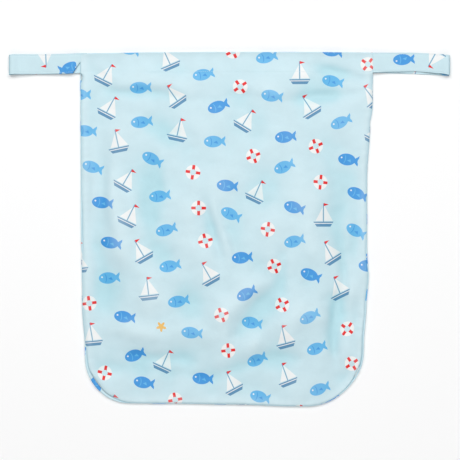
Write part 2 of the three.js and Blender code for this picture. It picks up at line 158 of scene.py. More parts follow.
def edge_place(x, y):
    """Gives how far along the outline the nearest edge is, and how deep inside it the points lie."""
    is_left = x < 0
    radius = np.where(is_left, LEFT_CORNER, RIGHT_CORNER)
    across = np.abs(x) - half_width + radius
    down = radius - half_length - y
    reach = np.hypot(np.maximum(across, 0), np.maximum(down, 0))
    depth = radius - reach - np.minimum(np.maximum(across, down), 0)
    straight = np.where(is_left, left_straight, right_straight)
    round_corner = straight + radius * np.arctan2(down, across)
    along_bottom = straight + radius * math.pi / 2 - across
    walked = np.where(across > down, half_length - y, along_bottom)
    walked = np.where((across > 0) & (down > 0), round_corner, walked)
    return np.where(is_left, walked, whole_run - walked), depth


print(f"the seam runs {whole_run / MM:.0f} mm round the bag")

# %% [markdown]
# ## A grid that follows the outline
#
# Cloth needs an even mesh, because the folds bend its points. A square grid cut to the outline would
# leave ragged edges. A Coons patch instead spreads rows and columns between the four edges of the shape,
# so the last row and the outer columns are the seam itself. The rows crowd together near the edges, where
# the cloth rolls over.

# %% Rows, columns and the patch between them
EDGE_STEPS = np.array([0.5, 1.2, 2.1, 3.2, 4.5, 6, 7.7, 9.6, 11.7, 14]) * MM


def stations(length, first, last, step):
    """Gives stations from 0 to 1 along a length: close together at both ends and even between them."""
    start, end = first[-1], length - last[-1]
    between = np.linspace(start, end, round((end - start) / step) + 1)[1:-1]
    return np.concatenate([[0], first, between, (length - last)[::-1], [length]]) / length


def edge_points(travelled, inset):
    """Gives points of the outline, drawn in by an inset that may change along it."""
    points, out = outline(travelled)
    return points - inset(travelled)[..., None] * out


def fill_outline(columns, rows, inset):
    """Gives a grid of plain points, row by row from the mouth down, that fills the drawn-in outline."""
    u, v = columns[None, :, None], rows[:, None, None]
    left = edge_points(rows * left_run, inset)[:, None]
    right = edge_points(whole_run - rows * right_run, inset)[:, None]
    low = edge_points(left_run + columns * bottom_run, inset)[None]
    foot = (1 - u) * left[-1] + u * right[-1]
    return (1 - u) * left + u * right + v * (low - foot)


# %% [markdown]
# ## How high the cloth lies
#
# An empty bag isn't flat: its edge is a soft roll, the middle stands a little higher, the hemmed mouth
# gapes, and handling leaves broad, shallow folds. A cloth simulation would give folds too, but not these
# folds, and soft daylight shows every one of them. So the height is a sum of rules: a quarter ellipse for
# the rolled edge, a dome, a table of folds with a steep and a gentle side, some seeded waves, and puckers
# at the seam.

# %% The rolled edge, the dome and the gaping mouth
SEAM_HEIGHT = 3.3 * MM
UNDER_ROLL = 2.5 * MM
RIM_REACH = 19 * MM
INNER_RISE, INNER_DEPTH = 1.6 * MM, 60 * MM  # well inside, the roll has led up to one height all round
# The roll over the edge along the seam, from the left end of the mouth round to its right end: how far in it
# reaches, how high it rises, and how much more the seam allowance inside makes the rim stand up. All in
# millimetres.
ROLL_REACHES = [(0, 6), (0.31, 7), (0.36, 6), (0.42, 3.2), (0.62, 3.2), (0.68, 5), (0.74, 6.5), (1, 6)]
ROLL_RISES = [(0, 1.6), (0.31, 2), (0.42, 0.5), (0.62, 0.5), (0.72, 1.8), (1, 1.6)]
RIM_RISES = [(0, 0.8), (0.3, 1), (0.4, 1), (0.64, 1), (0.74, 0.8), (1, 0.8)]
DOME_RISE, DOME_REACH = 7 * MM, 95 * MM
MOUTH_GAPE, MOUTH_GAPE_DEPTH = 2.2 * MM, 60 * MM
FRONT_LEAST = 2.6 * MM  # the front panel lies on the back one here
# How full the bag is down its length, in shares of the dome's rise
FULLNESS = [(0, 0.05), (0.11, 0.75), (0.24, 0.95), (0.5, 1.05), (0.74, 0.85), (0.9, 0.4), (1, 0.6)]


def roll_size(walked):
    """Gives how far in the roll over the edge reaches, and how high it rises."""
    share = walked / whole_run
    return read_table(ROLL_REACHES, share) * MM, read_table(ROLL_RISES, share) * MM


def full_height(x, y):
    """Gives the height of the upper face without its folds."""
    walked, depth = edge_place(x, y)
    reach, rise = roll_size(walked)
    roll = rise * np.sqrt(1 - (1 - np.clip(depth / reach, 0, 1)) ** 2)
    roll += (INNER_RISE - rise) * ease(depth / INNER_DEPTH)
    dome = ease((half_width - np.abs(x)) / DOME_REACH) * ease((y + half_length) / DOME_REACH)
    full = DOME_RISE * read_table(FULLNESS, np.clip(0.5 - y / bag_length, 0, 1))
    gape = MOUTH_GAPE * np.exp(-((half_length - y) / MOUTH_GAPE_DEPTH) ** 2)
    rim = read_table(RIM_RISES, walked / whole_run) * MM
    rim *= ease(depth / reach) * np.exp(-(depth / RIM_REACH) ** 2)
    return SEAM_HEIGHT + roll + rim + dome * (full + gape)


# %% Seeded waves
def waves(x, y, length, seed, count=9):
    """Adds up plane waves that run in random directions, about -1 to 1."""
    random = np.random.default_rng(seed)
    total = np.zeros_like(x)
    for turn, phase, stretch in random.uniform([0, 0, 0.7], [math.pi, 2 * math.pi, 1.5], (count, 3)):
        total += np.cos(2 * math.pi * (x * math.cos(turn) + y * math.sin(turn)) / (length * stretch) + phase)
    return total / math.sqrt(count)


# %% The folds, each with a spread on either side of its line
# Ends are in shares of the width from the centre and of the length from the mouth. The spreads, to the left
# and to the right of the way from one end to the other, and the height are in millimetres.
FOLDS = [
    {"ends": [(-0.42, 0.085), (-0.1, 0.095)], "spread": (12, 10), "height": 1.6},
    {"ends": [(-0.44, 0.102), (-0.13, 0.13)], "spread": (7, 8), "height": -2.0},
    {"ends": [(-0.1, 0.128), (0.2, 0.13)], "spread": (6, 9), "height": -0.9},
    {"ends": [(0.2, 0.133), (0.48, 0.113)], "spread": (7, 9), "height": -2.4},
    {"ends": [(-0.5, 0.03), (-0.36, 0.1)], "spread": (10, 10), "height": -1.5},
    {"ends": [(0.5, 0.085), (0.3, 0.03)], "spread": (10, 8), "height": -2.7},
    {"ends": [(-0.3, 0.2), (-0.16, 0.25)], "spread": (16, 16), "height": -1.9},
    {"ends": [(-0.468, 0.22), (-0.462, 0.74)], "spread": (9, 10), "height": 1.3},
    {"ends": [(-0.43, 0.3), (-0.42, 0.74)], "spread": (11, 10), "height": -1.4},
    {"ends": [(-0.385, 0.3), (-0.375, 0.6)], "spread": (13, 12), "height": 3.0},
    {"ends": [(-0.27, 0.28), (-0.26, 0.56)], "spread": (16, 17), "height": -3.2},
    {"ends": [(-0.15, 0.3), (-0.12, 0.62)], "spread": (16, 17), "height": 1.5},
    {"ends": [(-0.08, 0.4), (-0.03, 0.62)], "spread": (7, 9), "height": -2.3},
    {"ends": [(-0.04, 0.42), (0.01, 0.6)], "spread": (8, 9), "height": 1.9},
    {"ends": [(-0.06, 0.76), (0.15, 0.64)], "spread": (14, 12), "height": 2.9},
    {"ends": [(-0.01, 0.815), (0.2, 0.665)], "spread": (14, 16), "height": -2.7},
    {"ends": [(0.185, 0.68), (0.2, 0.55)], "spread": (11, 10), "height": -2.6},
    {"ends": [(0.08, 0.85), (0.27, 0.72)], "spread": (12, 14), "height": 2.7},
    {"ends": [(0.3, 0.4), (0.31, 0.6)], "spread": (24, 24), "height": 3.0},
    {"ends": [(0.405, 0.4), (0.41, 0.7)], "spread": (9, 10), "height": -2.7},
    {"ends": [(0.45, 0.4), (0.455, 0.62)], "spread": (9, 9), "height": -1.5},
    {"ends": [(0.385, 0.66), (0.39, 0.88)], "spread": (8, 8), "height": -2.7},
    {"ends": [(0.44, 0.64), (0.44, 0.86)], "spread": (9, 9), "height": 1.5},
    {"ends": [(-0.42, 0.79), (-0.07, 0.8)], "spread": (16, 16), "height": 3.0},
    {"ends": [(-0.36, 0.87), (-0.1, 0.88)], "spread": (13, 14), "height": -3.6},
    {"ends": [(-0.45, 0.9), (-0.06, 0.925)], "spread": (10, 12), "height": -1.8},
    {"ends": [(-0.1, 0.93), (0.26, 0.85)], "spread": (11, 12), "height": -2.4},
]
FOLD_FADE = 16 * MM
MEANDER, MEANDER_LENGTH = 4 * MM, 110 * MM  # how far the folds stray from straight lines


def fold_height(x, y):
    """Adds up the folds of the table. Each swells from nothing at one end and dies out at the other."""
    total = np.zeros_like(x)
    meander = MEANDER * waves(x, y, MEANDER_LENGTH, seed=51, count=5)
    for fold in FOLDS:
        start, end = (np.array([across * bag_width, (0.5 - down) * bag_length])
                      for across, down in fold["ends"])
        length = np.linalg.norm(end - start)
        along_x, along_y = (end - start) / length
        share = ((x - start[0]) * along_x + (y - start[1]) * along_y) / length
        beside = (y - start[1]) * along_x - (x - start[0]) * along_y + meander
        spread = np.where(beside > 0, fold["spread"][0], fold["spread"][1]) * MM
        swell = ease((share + 0.12) / 0.34) * ease((1.12 - share) / 0.34)
        total += fold["height"] * MM * swell * np.exp(-(beside / spread) ** 2)
    return total


# %% The waves' sizes, and the puckers of the seam
WAVE_LENGTH, WAVE_HEIGHT = 78 * MM, 1.3 * MM
SWELL_LENGTH, SWELL_HEIGHT = 42 * MM, 0.45 * MM
WRINKLE_LENGTH, WRINKLE_HEIGHT = 22 * MM, 0.18 * MM
PUCKER_LENGTH, PUCKER_HEIGHT, PUCKER_REACH = 11 * MM, 0.32 * MM, 7.5 * MM
# How strong the puckers are round the seam, from the left end of the mouth to its right end
PUCKER_STRENGTH = [(0, 0.3), (0.06, 0.9), (0.3, 0.6), (0.36, 1.5), (0.42, 0.8), (0.6, 0.8), (0.68, 1.5),
                   (0.76, 0.7), (0.94, 0.9), (1, 0.3)]


def puckers(walked, depth):
    """Gives the small gathers where the seam's thread draws the cloth in, dying out away from it."""
    drift = 2.2 * waves(walked, walked * 0, 70 * MM, seed=5)
    drift += 1.1 * waves(walked, depth, 31 * MM, seed=6)
    gather = np.cos(2 * math.pi * walked / PUCKER_LENGTH + drift)
    strength = read_table(PUCKER_STRENGTH, walked / whole_run)
    return PUCKER_HEIGHT * strength * gather * np.exp(-np.maximum(depth, 0) / PUCKER_REACH)


# How deep the seam sinks in between the panels, in millimetres, from the left end of the mouth round
SEAM_DEPTHS = [
    (0, 0.3), (0.02, 0.5), (0.0235, 3.4), (0.0275, 2.6), (0.031, 0.5), (0.06, 0.4), (0.14, 0.5), (0.185, 1.2),
    (0.23, 0.5), (0.3, 0.6), (0.335, 1.9), (0.352, 2.6), (0.375, 1.8), (0.41, 0.3), (0.46, 0.6), (0.5, 0.2),
    (0.56, 0.5), (0.62, 0.3), (0.653, 1.4), (0.66, 4.2), (0.667, 4.2), (0.674, 1.8), (0.7, 1.3), (0.73, 0.8),
    (0.78, 0.9), (0.82, 0.4), (0.95, 0.4), (1, 0.3),
]
# How wide that valley is, in millimetres on either side of the seam
SEAM_WIDTHS = [
    (0, 0.7), (0.02, 0.7), (0.024, 1.5), (0.028, 1.4), (0.033, 0.7), (0.3, 0.8), (0.345, 2), (0.365, 2),
    (0.4, 0.8), (0.63, 0.8), (0.664, 1.3), (0.7, 1.2), (0.76, 0.8), (1, 0.7),
]
# How far apart the panels lie at the seam, in millimetres: more where a strap or the corner pulls it open
SEAM_GAPS = [(0, 0.3), (0.0215, 0.3), (0.0242, 3), (0.0268, 2.6), (0.0295, 0.3), (0.335, 0.3), (0.35, 2),
             (0.365, 1.6), (0.38, 0.3), (0.655, 0.3), (0.66, 2.3), (0.666, 2.3), (0.672, 0.3), (1, 0.3)]


def seam_inset(walked):
    """Gives how far in from the bag's widest line the seam lies."""
    return bag_width * read_table(SEAM_INSETS, walked / whole_run)


def seam_gap(walked):
    """Gives how far apart the two panels' edges lie at the seam."""
    return read_table(SEAM_GAPS, walked / whole_run) * MM


def seam_sink(walked, depth):
    """Gives how far the cloth on either side dives into the seam."""
    sink = read_table(SEAM_DEPTHS, walked / whole_run) * MM
    width = read_table(SEAM_WIDTHS, walked / whole_run) * MM
    return sink * np.exp(-np.abs(depth - seam_inset(walked)) / width)


MOUTH_LIP, MOUTH_LIP_DEPTH = 1.3 * MM, 4 * MM  # the hem's fold is plump
HEM_ROW = 26 * MM  # the hem's stitching, below the mouth
STRAP_WIDTH = 28 * MM
HEM_DENT, HEM_DENT_WIDTH = 0.12 * MM, 2.4 * MM  # the thread draws the hem in along its row
STRAP_LIFT, STRAP_LIFT_REACH = 2.4 * MM, 11 * MM  # how far the caught strap lifts the seam over it
STRAP_PRESS, STRAP_PRESS_REACH = 0.5, 9 * MM  # the share of the roll that it flattens beside the seam
STRAP_EASE = 6 * MM  # below the strap, both end over this length
EDGE_FADE = 6 * MM  # the wrinkles, the hem's lip and its dent fade out this near the edge
WAVE_FADE, SWELL_FADE = 40 * MM, 30 * MM  # the hem keeps the waves down this far from the mouth
CLAMP = 0.4 * MM  # how softly the front panel comes to lie on the back one
ALLOWANCE = 6 * MM  # the cloth inside the seam, beyond its stitching
ALLOWANCE_PAINTED_LIGHT = 2.6 * MM  # the painted highlight pales the cloth over the allowance as on a fold this high


def top_height(x, y):
    """Gives the height of the bag's upper face over plain points, and how high it stands as a fold (more over
    the allowance), which sets the knit's painted shade and highlight.
    """
    walked, depth = edge_place(x, y)
    below_mouth = half_length - y
    inner = ease(depth / FOLD_FADE)
    smooth = full_height(x, y)
    height = smooth + inner * fold_height(x, y)
    height += inner * WAVE_HEIGHT * waves(x, y * 0.8, WAVE_LENGTH, seed=11) * ease(below_mouth / WAVE_FADE)
    gentle = waves(x, y, SWELL_LENGTH, seed=17, count=12) * ease(below_mouth / SWELL_FADE)
    height += inner * SWELL_HEIGHT * gentle
    height += ease(depth / EDGE_FADE) * WRINKLE_HEIGHT * waves(x, y, WRINKLE_LENGTH, seed=23, count=14)
    height += puckers(walked, depth) - seam_sink(walked, depth)
    height += MOUTH_LIP * np.exp(-below_mouth / MOUTH_LIP_DEPTH) * ease(depth / EDGE_FADE)
    height -= HEM_DENT * np.exp(-((below_mouth - HEM_ROW) / HEM_DENT_WIDTH) ** 2) * ease(depth / EDGE_FADE)
    lift = STRAP_LIFT * np.exp(-depth / STRAP_LIFT_REACH)
    lift -= STRAP_PRESS * (smooth - SEAM_HEIGHT) * np.exp(-(depth / STRAP_PRESS_REACH) ** 2)
    height += lift * ease((STRAP_WIDTH + STRAP_EASE - below_mouth) / STRAP_EASE)
    spare = (height - FRONT_LEAST) / CLAMP
    height = np.where(depth > FOLD_FADE, FRONT_LEAST + CLAMP * np.logaddexp(0, spare), height)
    return height, height - smooth + ALLOWANCE_PAINTED_LIGHT * np.exp(-((depth - ALLOWANCE) / ALLOWANCE) ** 2)


# %% [markdown]
# ## From a patch to a piece of cloth
#
# Cloth has a printed face and an inner face, and its cut or folded edge is round. Blender's Solidify
# modifier could give the thickness, but the hem is thicker than the rest and the two faces carry
# different materials. So each piece is built as one closed shell here: the outer points, the inner points
# one wall further in, and a few loops of points that carry the edge round between them.

# %% How a patch is numbered
def around(grid):
    """Walks a grid's left edge down, its last row across and its right edge up."""
    return np.concatenate([grid[:, 0], grid[-1, 1:], grid[-2::-1, -1]])


def number_patch(rows, columns, rings=0):
    """Gives the faces of a patch with rings outside it, and the closed loop round its whole edge."""
    grid = np.arange(rows * columns).reshape(rows, columns)
    walk = around(grid)
    loops = [walk] + [rows * columns + k * len(walk) + np.arange(len(walk)) for k in range(rings)]
    quads = [np.stack([grid[:-1, :-1], grid[1:, :-1], grid[1:, 1:], grid[:-1, 1:]], -1).reshape(-1, 4)]
    for inner, outer in zip(loops, loops[1:]):
        quads.append(np.stack([inner[:-1], outer[:-1], outer[1:], inner[1:]], -1))
    ends = [loop[-1] for loop in loops[-2:0:-1]]
    starts = [loop[0] for loop in loops[1:-1]]
    mouth = grid[0, ::-1] if rings else grid[0, -2:0:-1]
    return np.concatenate(quads), np.concatenate([loops[-1], ends, mouth, starts]).astype(int)


def point_normals(points, quads):
    """Gives each point the mean direction of the faces round it."""
    facing = np.cross(points[quads[:, 2]] - points[quads[:, 0]], points[quads[:, 3]] - points[quads[:, 1]])
    normals = np.zeros_like(points)
    for corner in range(4):
        np.add.at(normals, quads[:, corner], facing)
    return normals / np.linalg.norm(normals, axis=1, keepdims=True)


def unit(vectors):
    """Scales each vector to a length of 1."""
    return vectors / np.linalg.norm(vectors, axis=-1, keepdims=True)


# %% The mesh of a piece, with a map for the print and a map for baking
def mesh_piece(name, points, faces, print_corners, bake_corners, material_of_face):
    """Makes an object at the origin from points, faces, the maps at each face's corners and its materials."""
    mesh = bpy.data.meshes.new(name)
    mesh.from_pydata(points.tolist(), [], faces.tolist())
    for map_name, corners in (("cloth", print_corners), ("OFBake", bake_corners)):
        uv_map = mesh.uv_layers.new(name=map_name)
        uv_map.data.foreach_set("uv", np.ascontiguousarray(corners, dtype=np.float32).reshape(-1))
    mesh.polygons.foreach_set("material_index", material_of_face.astype(np.int32))
    mesh.polygons.foreach_set("use_smooth", np.ones(len(faces), bool))
    mesh.update()
    piece = bpy.data.objects.new(name, mesh)
    bpy.context.collection.objects.link(piece)
    print(f"{name}: {len(faces)} faces, {np.ptp(points, 0) / MM} mm")
    return piece


# %% The closed shell
EDGE_LOOPS = 4
PANEL_WALL, HEM_WALL = 1 * MM, 1.8 * MM
HEM_DEPTH, HEM_STEP = 28 * MM, 0.6 * MM


def cloth_shell(name, outer, flat, quads, edge, turned, print_start):
    """Makes a closed panel from its outer points and where each lies in the flat cloth.

    A turned panel has its printed face downwards, and its print is mirrored with it.
    """
    facing = -1 if turned else 1
    below_mouth = half_length - flat[:, 1]
    wall = HEM_WALL + (PANEL_WALL - HEM_WALL) * np.clip((below_mouth - HEM_DEPTH) / HEM_STEP, 0, 1)
    inner = outer - facing * wall[:, None] * point_normals(outer, quads)
    rim, rim_inner, half_wall = outer[edge], inner[edge], wall[edge, None] / 2
    up = facing * unit(rim - rim_inner)
    outward = unit(np.cross(np.roll(rim, -1, 0) - np.roll(rim, 1, 0), up))
    flat_along = np.roll(flat[edge], -1, 0) - np.roll(flat[edge], 1, 0)
    flat_out = unit(flat_along[:, ::-1] * [1, -1])

    points, print_at, loops = [outer, inner], [flat, flat], [edge]
    for k in range(1, EDGE_LOOPS + 1):
        turn = math.pi * k / (EDGE_LOOPS + 1)
        round_edge = facing * math.cos(turn) * up + math.sin(turn) * outward
        points.append((rim + rim_inner) / 2 + half_wall * round_edge)
        print_at.append(flat[edge] + flat_out * half_wall * turn)
        loops.append(2 * len(outer) + (k - 1) * len(edge) + np.arange(len(edge)))
    loops.append(edge + len(outer))
    band = [np.stack([a, b, np.roll(b, -1), np.roll(a, -1)], -1) for a, b in zip(loops, loops[1:])]
    faces = np.concatenate([quads, *band, quads[:, ::-1] + len(outer)])
    points, print_at = np.concatenate(points), np.concatenate(print_at)
    is_inner = np.arange(len(faces)) >= len(faces) - len(quads)
    is_film = is_inner & (half_length - print_at[faces].mean(1)[:, 1] > HEM_DEPTH)
    if turned:
        faces = faces[:, ::-1]

    print_corners = print_at[faces] * [facing, 1] + print_start
    low, high = print_at.min(0), print_at.max(0)
    bake_corners = (print_at[faces] - low) / (high - low)
    across = np.where(is_inner[:, None], [0.85, 0.14], [0.01, 0.82])
    across = across[:, :1] + across[:, 1:] * bake_corners[..., 0]
    bake_corners = np.stack([across, 0.01 + 0.98 * bake_corners[..., 1]], -1)
    return mesh_piece(name, points, faces, print_corners, bake_corners, is_film), inner


# %% The front panel
FRONT_STEP = 2.5 * MM
FRONT_SHORT, SHORT_FADE = 1.1 * MM, 30 * MM  # how far the front panel's mouth lies below the back one's
MOUTH_STEPS = np.array([0.8, 2, 4, 6.5, 9, 11.5, 14, 16.5, 19, 21, 22.7, 24, 25, 26, 27, 28, 28.6, 30]) * MM


def roll_arc(walked, depth):
    """Gives about how much longer the cloth is over the rolled edge than its plan, up to each depth."""
    reach, rise = roll_size(walked)
    spare = np.hypot(reach, rise) - reach + 0.2 * rise
    return spare * np.clip(1 - depth / reach, 0, 1) ** 1.5


columns = stations(bag_width, EDGE_STEPS, EDGE_STEPS, FRONT_STEP)
rows = stations(left_run, MOUTH_STEPS, EDGE_STEPS, FRONT_STEP)
front_plain = fill_outline(columns, rows, lambda walked: seam_inset(walked) + seam_gap(walked) / 2)
front_x, front_y = front_plain[..., 0], front_plain[..., 1]
mouth_short = FRONT_SHORT * np.exp(-(half_length - front_y) / SHORT_FADE)
front_z, front_shade_height = top_height(front_x, front_y)
front_points = waver(np.stack([front_x, front_y - mouth_short, front_z], -1))
walked, depth = edge_place(front_x, front_y)
front_flat = front_plain + outline(walked)[1] * roll_arc(walked, depth)[..., None]
front_quads, front_edge = number_patch(len(rows), len(columns))
front_outer = front_points.reshape(-1, 3)
front_panel, front_inner = cloth_shell(
    "front_panel_knit", front_outer, front_flat.reshape(-1, 2), front_quads, front_edge,
    turned=False, print_start=(0.5, 0.5))
# The fold height goes to the material, which paints shade on low cloth and a highlight on high cloth
shade_height_attribute = front_panel.data.attributes.new("fold_height", "FLOAT", "POINT")
shade_heights = np.zeros(len(front_panel.data.vertices))
shade_heights[:front_shade_height.size] = front_shade_height.reshape(-1) / MM
shade_height_attribute.data.foreach_set("value", shade_heights)

# %% [markdown]
# ## The back panel
#
# The back panel lies flat on the floor with its print downwards, curls up round the edge and meets the
# front panel at the seam. The grid is the flat part. Rings of points outside it follow the roll, which is
# a tight quarter ellipse below the bag's widest line and a wider one above it. Where a strap passes
# through the seam, the roll ends below the strap.

# %% The flat part, the rings of the roll and where they end
BACK_STEP = 4 * MM
ROLL_RINGS = 12
NOTCH_TURN = math.radians(-10)  # where the roll ends under a strap
NOTCH_EASE = 5 * MM
FLOOR_LIFT, FLOOR_LIFT_LENGTH = 0.35 * MM, 60 * MM  # the cloth underneath leaves the floor in places
HEM_LIFT = 0.55 * MM  # and it is lifted all along the hem's stitching

back_columns = stations(bag_width, EDGE_STEPS[3::2], EDGE_STEPS[3::2], BACK_STEP)
back_rows = stations(left_run, MOUTH_STEPS[2::2], EDGE_STEPS[3::2], BACK_STEP)
back_plain = fill_outline(back_columns, back_rows, lambda walked: np.full_like(walked, UNDER_ROLL))
back_walk = np.concatenate([back_rows * left_run, left_run + back_columns[1:] * bottom_run,
                            whole_run - back_rows[-2::-1] * right_run])
over_reach, over_rise = roll_size(back_walk)
back_inset = seam_inset(back_walk) - seam_gap(back_walk) / 2
seam_turn = np.arccos(np.clip(1 - back_inset / over_reach, -0.2, 1))
past_strap = (np.minimum(back_walk, whole_run - back_walk) - STRAP_WIDTH - 1 * MM) / NOTCH_EASE
end_turn = NOTCH_TURN + (seam_turn - NOTCH_TURN) * ease(past_strap)
edge_at, edge_out = outline(back_walk)

_, back_depth = edge_place(back_plain[..., 0], back_plain[..., 1])
lift = waves(back_plain[..., 0], back_plain[..., 1], FLOOR_LIFT_LENGTH, seed=31)
lift = FLOOR_LIFT * np.maximum(lift, 0)
back_flat_z = lift * ease((back_depth - 8 * MM) / (30 * MM))
from_row = half_length - back_plain[..., 1] - HEM_ROW
back_flat_z += HEM_LIFT * np.exp(-(from_row / HEM_DENT_WIDTH) ** 2)
flat_part = np.concatenate([back_plain, back_flat_z[..., None]], -1)
ring_points, ring_flat = [flat_part.reshape(-1, 3)], []
before, cloth_used = around(flat_part), 0
for share in np.linspace(0, 1, ROLL_RINGS + 1)[1:]:
    turn = -math.pi / 2 + (end_turn + math.pi / 2) * share
    reach = np.where(turn < 0, UNDER_ROLL, over_reach)
    rise = np.where(turn < 0, SEAM_HEIGHT, over_rise)
    inset = reach * (1 - np.cos(turn))
    height = SEAM_HEIGHT + rise * np.sin(turn)
    gathered = puckers(back_walk, inset) - seam_sink(back_walk, inset)
    height += gathered * ease((turn + math.pi / 2) / 1.8)
    height = np.maximum(height, 0)
    ring = np.concatenate([edge_at - inset[:, None] * edge_out, height[:, None]], -1)
    cloth_used = cloth_used + np.linalg.norm(ring - before, axis=1)
    ring_flat.append(edge_at - UNDER_ROLL * edge_out + cloth_used[:, None] * edge_out)
    ring_points.append(ring)
    before = ring
back_quads, back_edge = number_patch(len(back_rows), len(back_columns), ROLL_RINGS)
back_outer = waver(np.concatenate(ring_points))
back_flat = np.concatenate([back_plain.reshape(-1, 2), *ring_flat])
back_panel, back_inner = cloth_shell("back_panel_knit", back_outer, back_flat, back_quads, back_edge,
                                     turned=True, print_start=(0.537, 0.521))

# %% [markdown]
# ## The strap loops
#
# A strap is a strip of the same knit, folded into four and stitched along both edges. Its two ends are
# caught in the side seam, one on the other, so it stands out as a springy loop. A curve with a bevel
# would do for a straight strap, but the left one folds under itself where it enters the seam. So each
# loop is built here from cross-sections along its path, and each section can be folded at any line across
# the strap.

# %% The path of a loop, from the seam out along the top and back underneath
STRAP_WALL = 1.3 * MM
ROOT_WALL = 1.05 * MM  # pressed flatter in the seam
ROOT_DEPTH = 9 * MM
LOOP_HEIGHT, LOOP_DROP, LAY_DOWN = left_high[2], 0.5 * MM, 22 * MM
TUCK_REACH = 11 * MM
LOOP_STEP = 2.4 * MM
ROOT_RUN, TURN_RUN = 17 * MM, 9 * MM  # the stations are closer this near to the seam and to the turned end
RIPPLE_LENGTH, RIPPLE_HEIGHT = 55 * MM, 0.25 * MM  # the upper layer isn't quite straight
# The tables run along the reach. A rise is how much higher the upper layer's middle lies than a straight line
# from its root to the turned end. A swing is how far the strap hangs down from a straight line, for the upper
# and for the under layer. Both are in millimetres. The width is the upper layer's, as a share of the strap's,
# and the tuck is the share of it that is folded under where it enters the seam.
LOOPS = {
    "left": {
        "side": -1, "reach": left_reach, "roots": (5.2 * MM, 3.1 * MM), "tuck": 0.55,
        "rise": [(0, 0), (0.1, 0.4), (0.3, -1.5), (0.6, -3.2), (0.85, -2), (0.955, 0), (1, 0)],
        "over_swing": [(0, -0.8), (0.2, -1.7), (0.7, -2.2), (0.93, -2.4), (1, -3.2)],
        "under_swing": [(0, -0.8), (0.2, -1.7), (0.7, -2.2), (0.93, -2.4), (1, -3.2)],
        "width": [(0, 1), (1, 1)],
    },
    "right": {
        "side": 1, "reach": right_reach, "roots": (4.7 * MM, 3.4 * MM), "tuck": 0,
        "rise": [(0, 0), (0.3, -1.8), (0.6, -3.6), (0.85, -2.2), (0.955, 0), (1, 0)],
        "over_swing": [(0, 0), (0.5, 0.1), (0.7, -0.8), (0.87, -2.1), (1, -3.6)],
        "under_swing": [(0, 0), (0.3, -0.9), (0.5, -1.5), (0.7, -2.4), (1, -4.3)],
        "width": [(0, 1), (0.25, 0.96), (0.6, 0.94), (0.85, 0.97), (1, 1)],
    },
}


def loop_path(loop):
    """Gives the stations of a loop: away from the seam, height, swing, and 0 to 1 from over to under."""
    radius = (LOOP_HEIGHT - STRAP_WALL) / 2
    straight = loop["reach"] - radius - STRAP_WALL / 2
    near_seam = np.arange(0.9, 16, 0.9) * MM
    middle_run = straight - ROOT_RUN - TURN_RUN
    middle = np.linspace(ROOT_RUN, straight - TURN_RUN, round(middle_run / LOOP_STEP))
    near_turn = straight - np.arange(8.2, -0.1, -0.82) * MM
    steps = np.concatenate([np.linspace(-ROOT_DEPTH, 0, 5), near_seam, middle, near_turn])
    share, floor = np.clip(steps / loop["reach"], 0, 1), STRAP_WALL / 2
    over_root, under_root = loop["roots"]
    over = over_root + (LOOP_HEIGHT - floor - over_root) * share + read_table(loop["rise"], share) * MM
    ripple = RIPPLE_HEIGHT * waves(steps, steps * 0, RIPPLE_LENGTH, seed=41)
    over += ripple * ease(steps / (20 * MM)) * ease((1 - share) * 6)
    under = under_root + (floor - under_root) * ease(steps / LAY_DOWN)
    turn = np.linspace(0, math.pi, 14)[1:-1]
    away = np.concatenate([steps, straight + radius * np.sin(turn), steps[::-1]])
    height = np.concatenate([over, floor + radius * (1 + np.cos(turn)), under[::-1]])
    layer = np.concatenate([steps * 0, turn / math.pi, steps * 0 + 1])
    share = np.clip(away / loop["reach"], 0, 1)
    swings = [read_table(loop[key], share) * MM for key in ("over_swing", "under_swing")]
    return away, height, swings[0] + (swings[1] - swings[0]) * layer, layer


# %% The section of a strap, and how it folds
EDGE_ROW = 2.2 * MM  # the stitching, in from each edge of the strap
ROW_DENT, ROW_DENT_WIDTH = 0.4, 0.75 * MM  # the share of the thickness that it takes, and over what width
FOLD_RADIUS, FOLD_PRESS = 0.9 * MM, 0.35 * MM  # of the strap's own fold, and how much less it is in the seam
FLAP_ROOM = 6.5 * MM  # beyond its fold, the tuck runs back under the strap by this much at most
BEND_LENGTH, BEND_HEIGHT = 26 * MM, 0.16 * MM  # shallow bends across the upper layer
ring_steps = np.array([0.66, 1, 1.5, 1.9, 2.2, 2.5, 2.9, 3.6, 4.8, 6.4, 8.2, 10.1, 12, 14]) * MM
ring_steps = np.concatenate([ring_steps, STRAP_WIDTH - ring_steps[-2::-1]])
lip = math.pi * np.array([1, 3, 5, 7]) / 8
# Each point of the section: how far across the strap it is, and which way it stands off the middle, -1 to 1
ring_across = np.concatenate([ring_steps[:1] * (1 - np.sin(lip[1::-1])), ring_steps,
                              STRAP_WIDTH - ring_steps[0] * (1 - np.sin(lip)), ring_steps[::-1],
                              ring_steps[:1] * (1 - np.sin(lip[:1:-1]))])
ring_off = np.concatenate([np.cos(lip[1::-1]), ring_steps * 0 + 1, np.cos(lip), ring_steps * 0 - 1,
                           np.cos(lip[:1:-1])])


def strap_dent(across):
    """Gives the share of its thickness that the strap keeps, less along its two rows of stitching."""
    rows = (EDGE_ROW, STRAP_WIDTH - EDGE_ROW)
    return 1 - ROW_DENT * sum(np.exp(-((across - row) / ROW_DENT_WIDTH) ** 2) for row in rows)


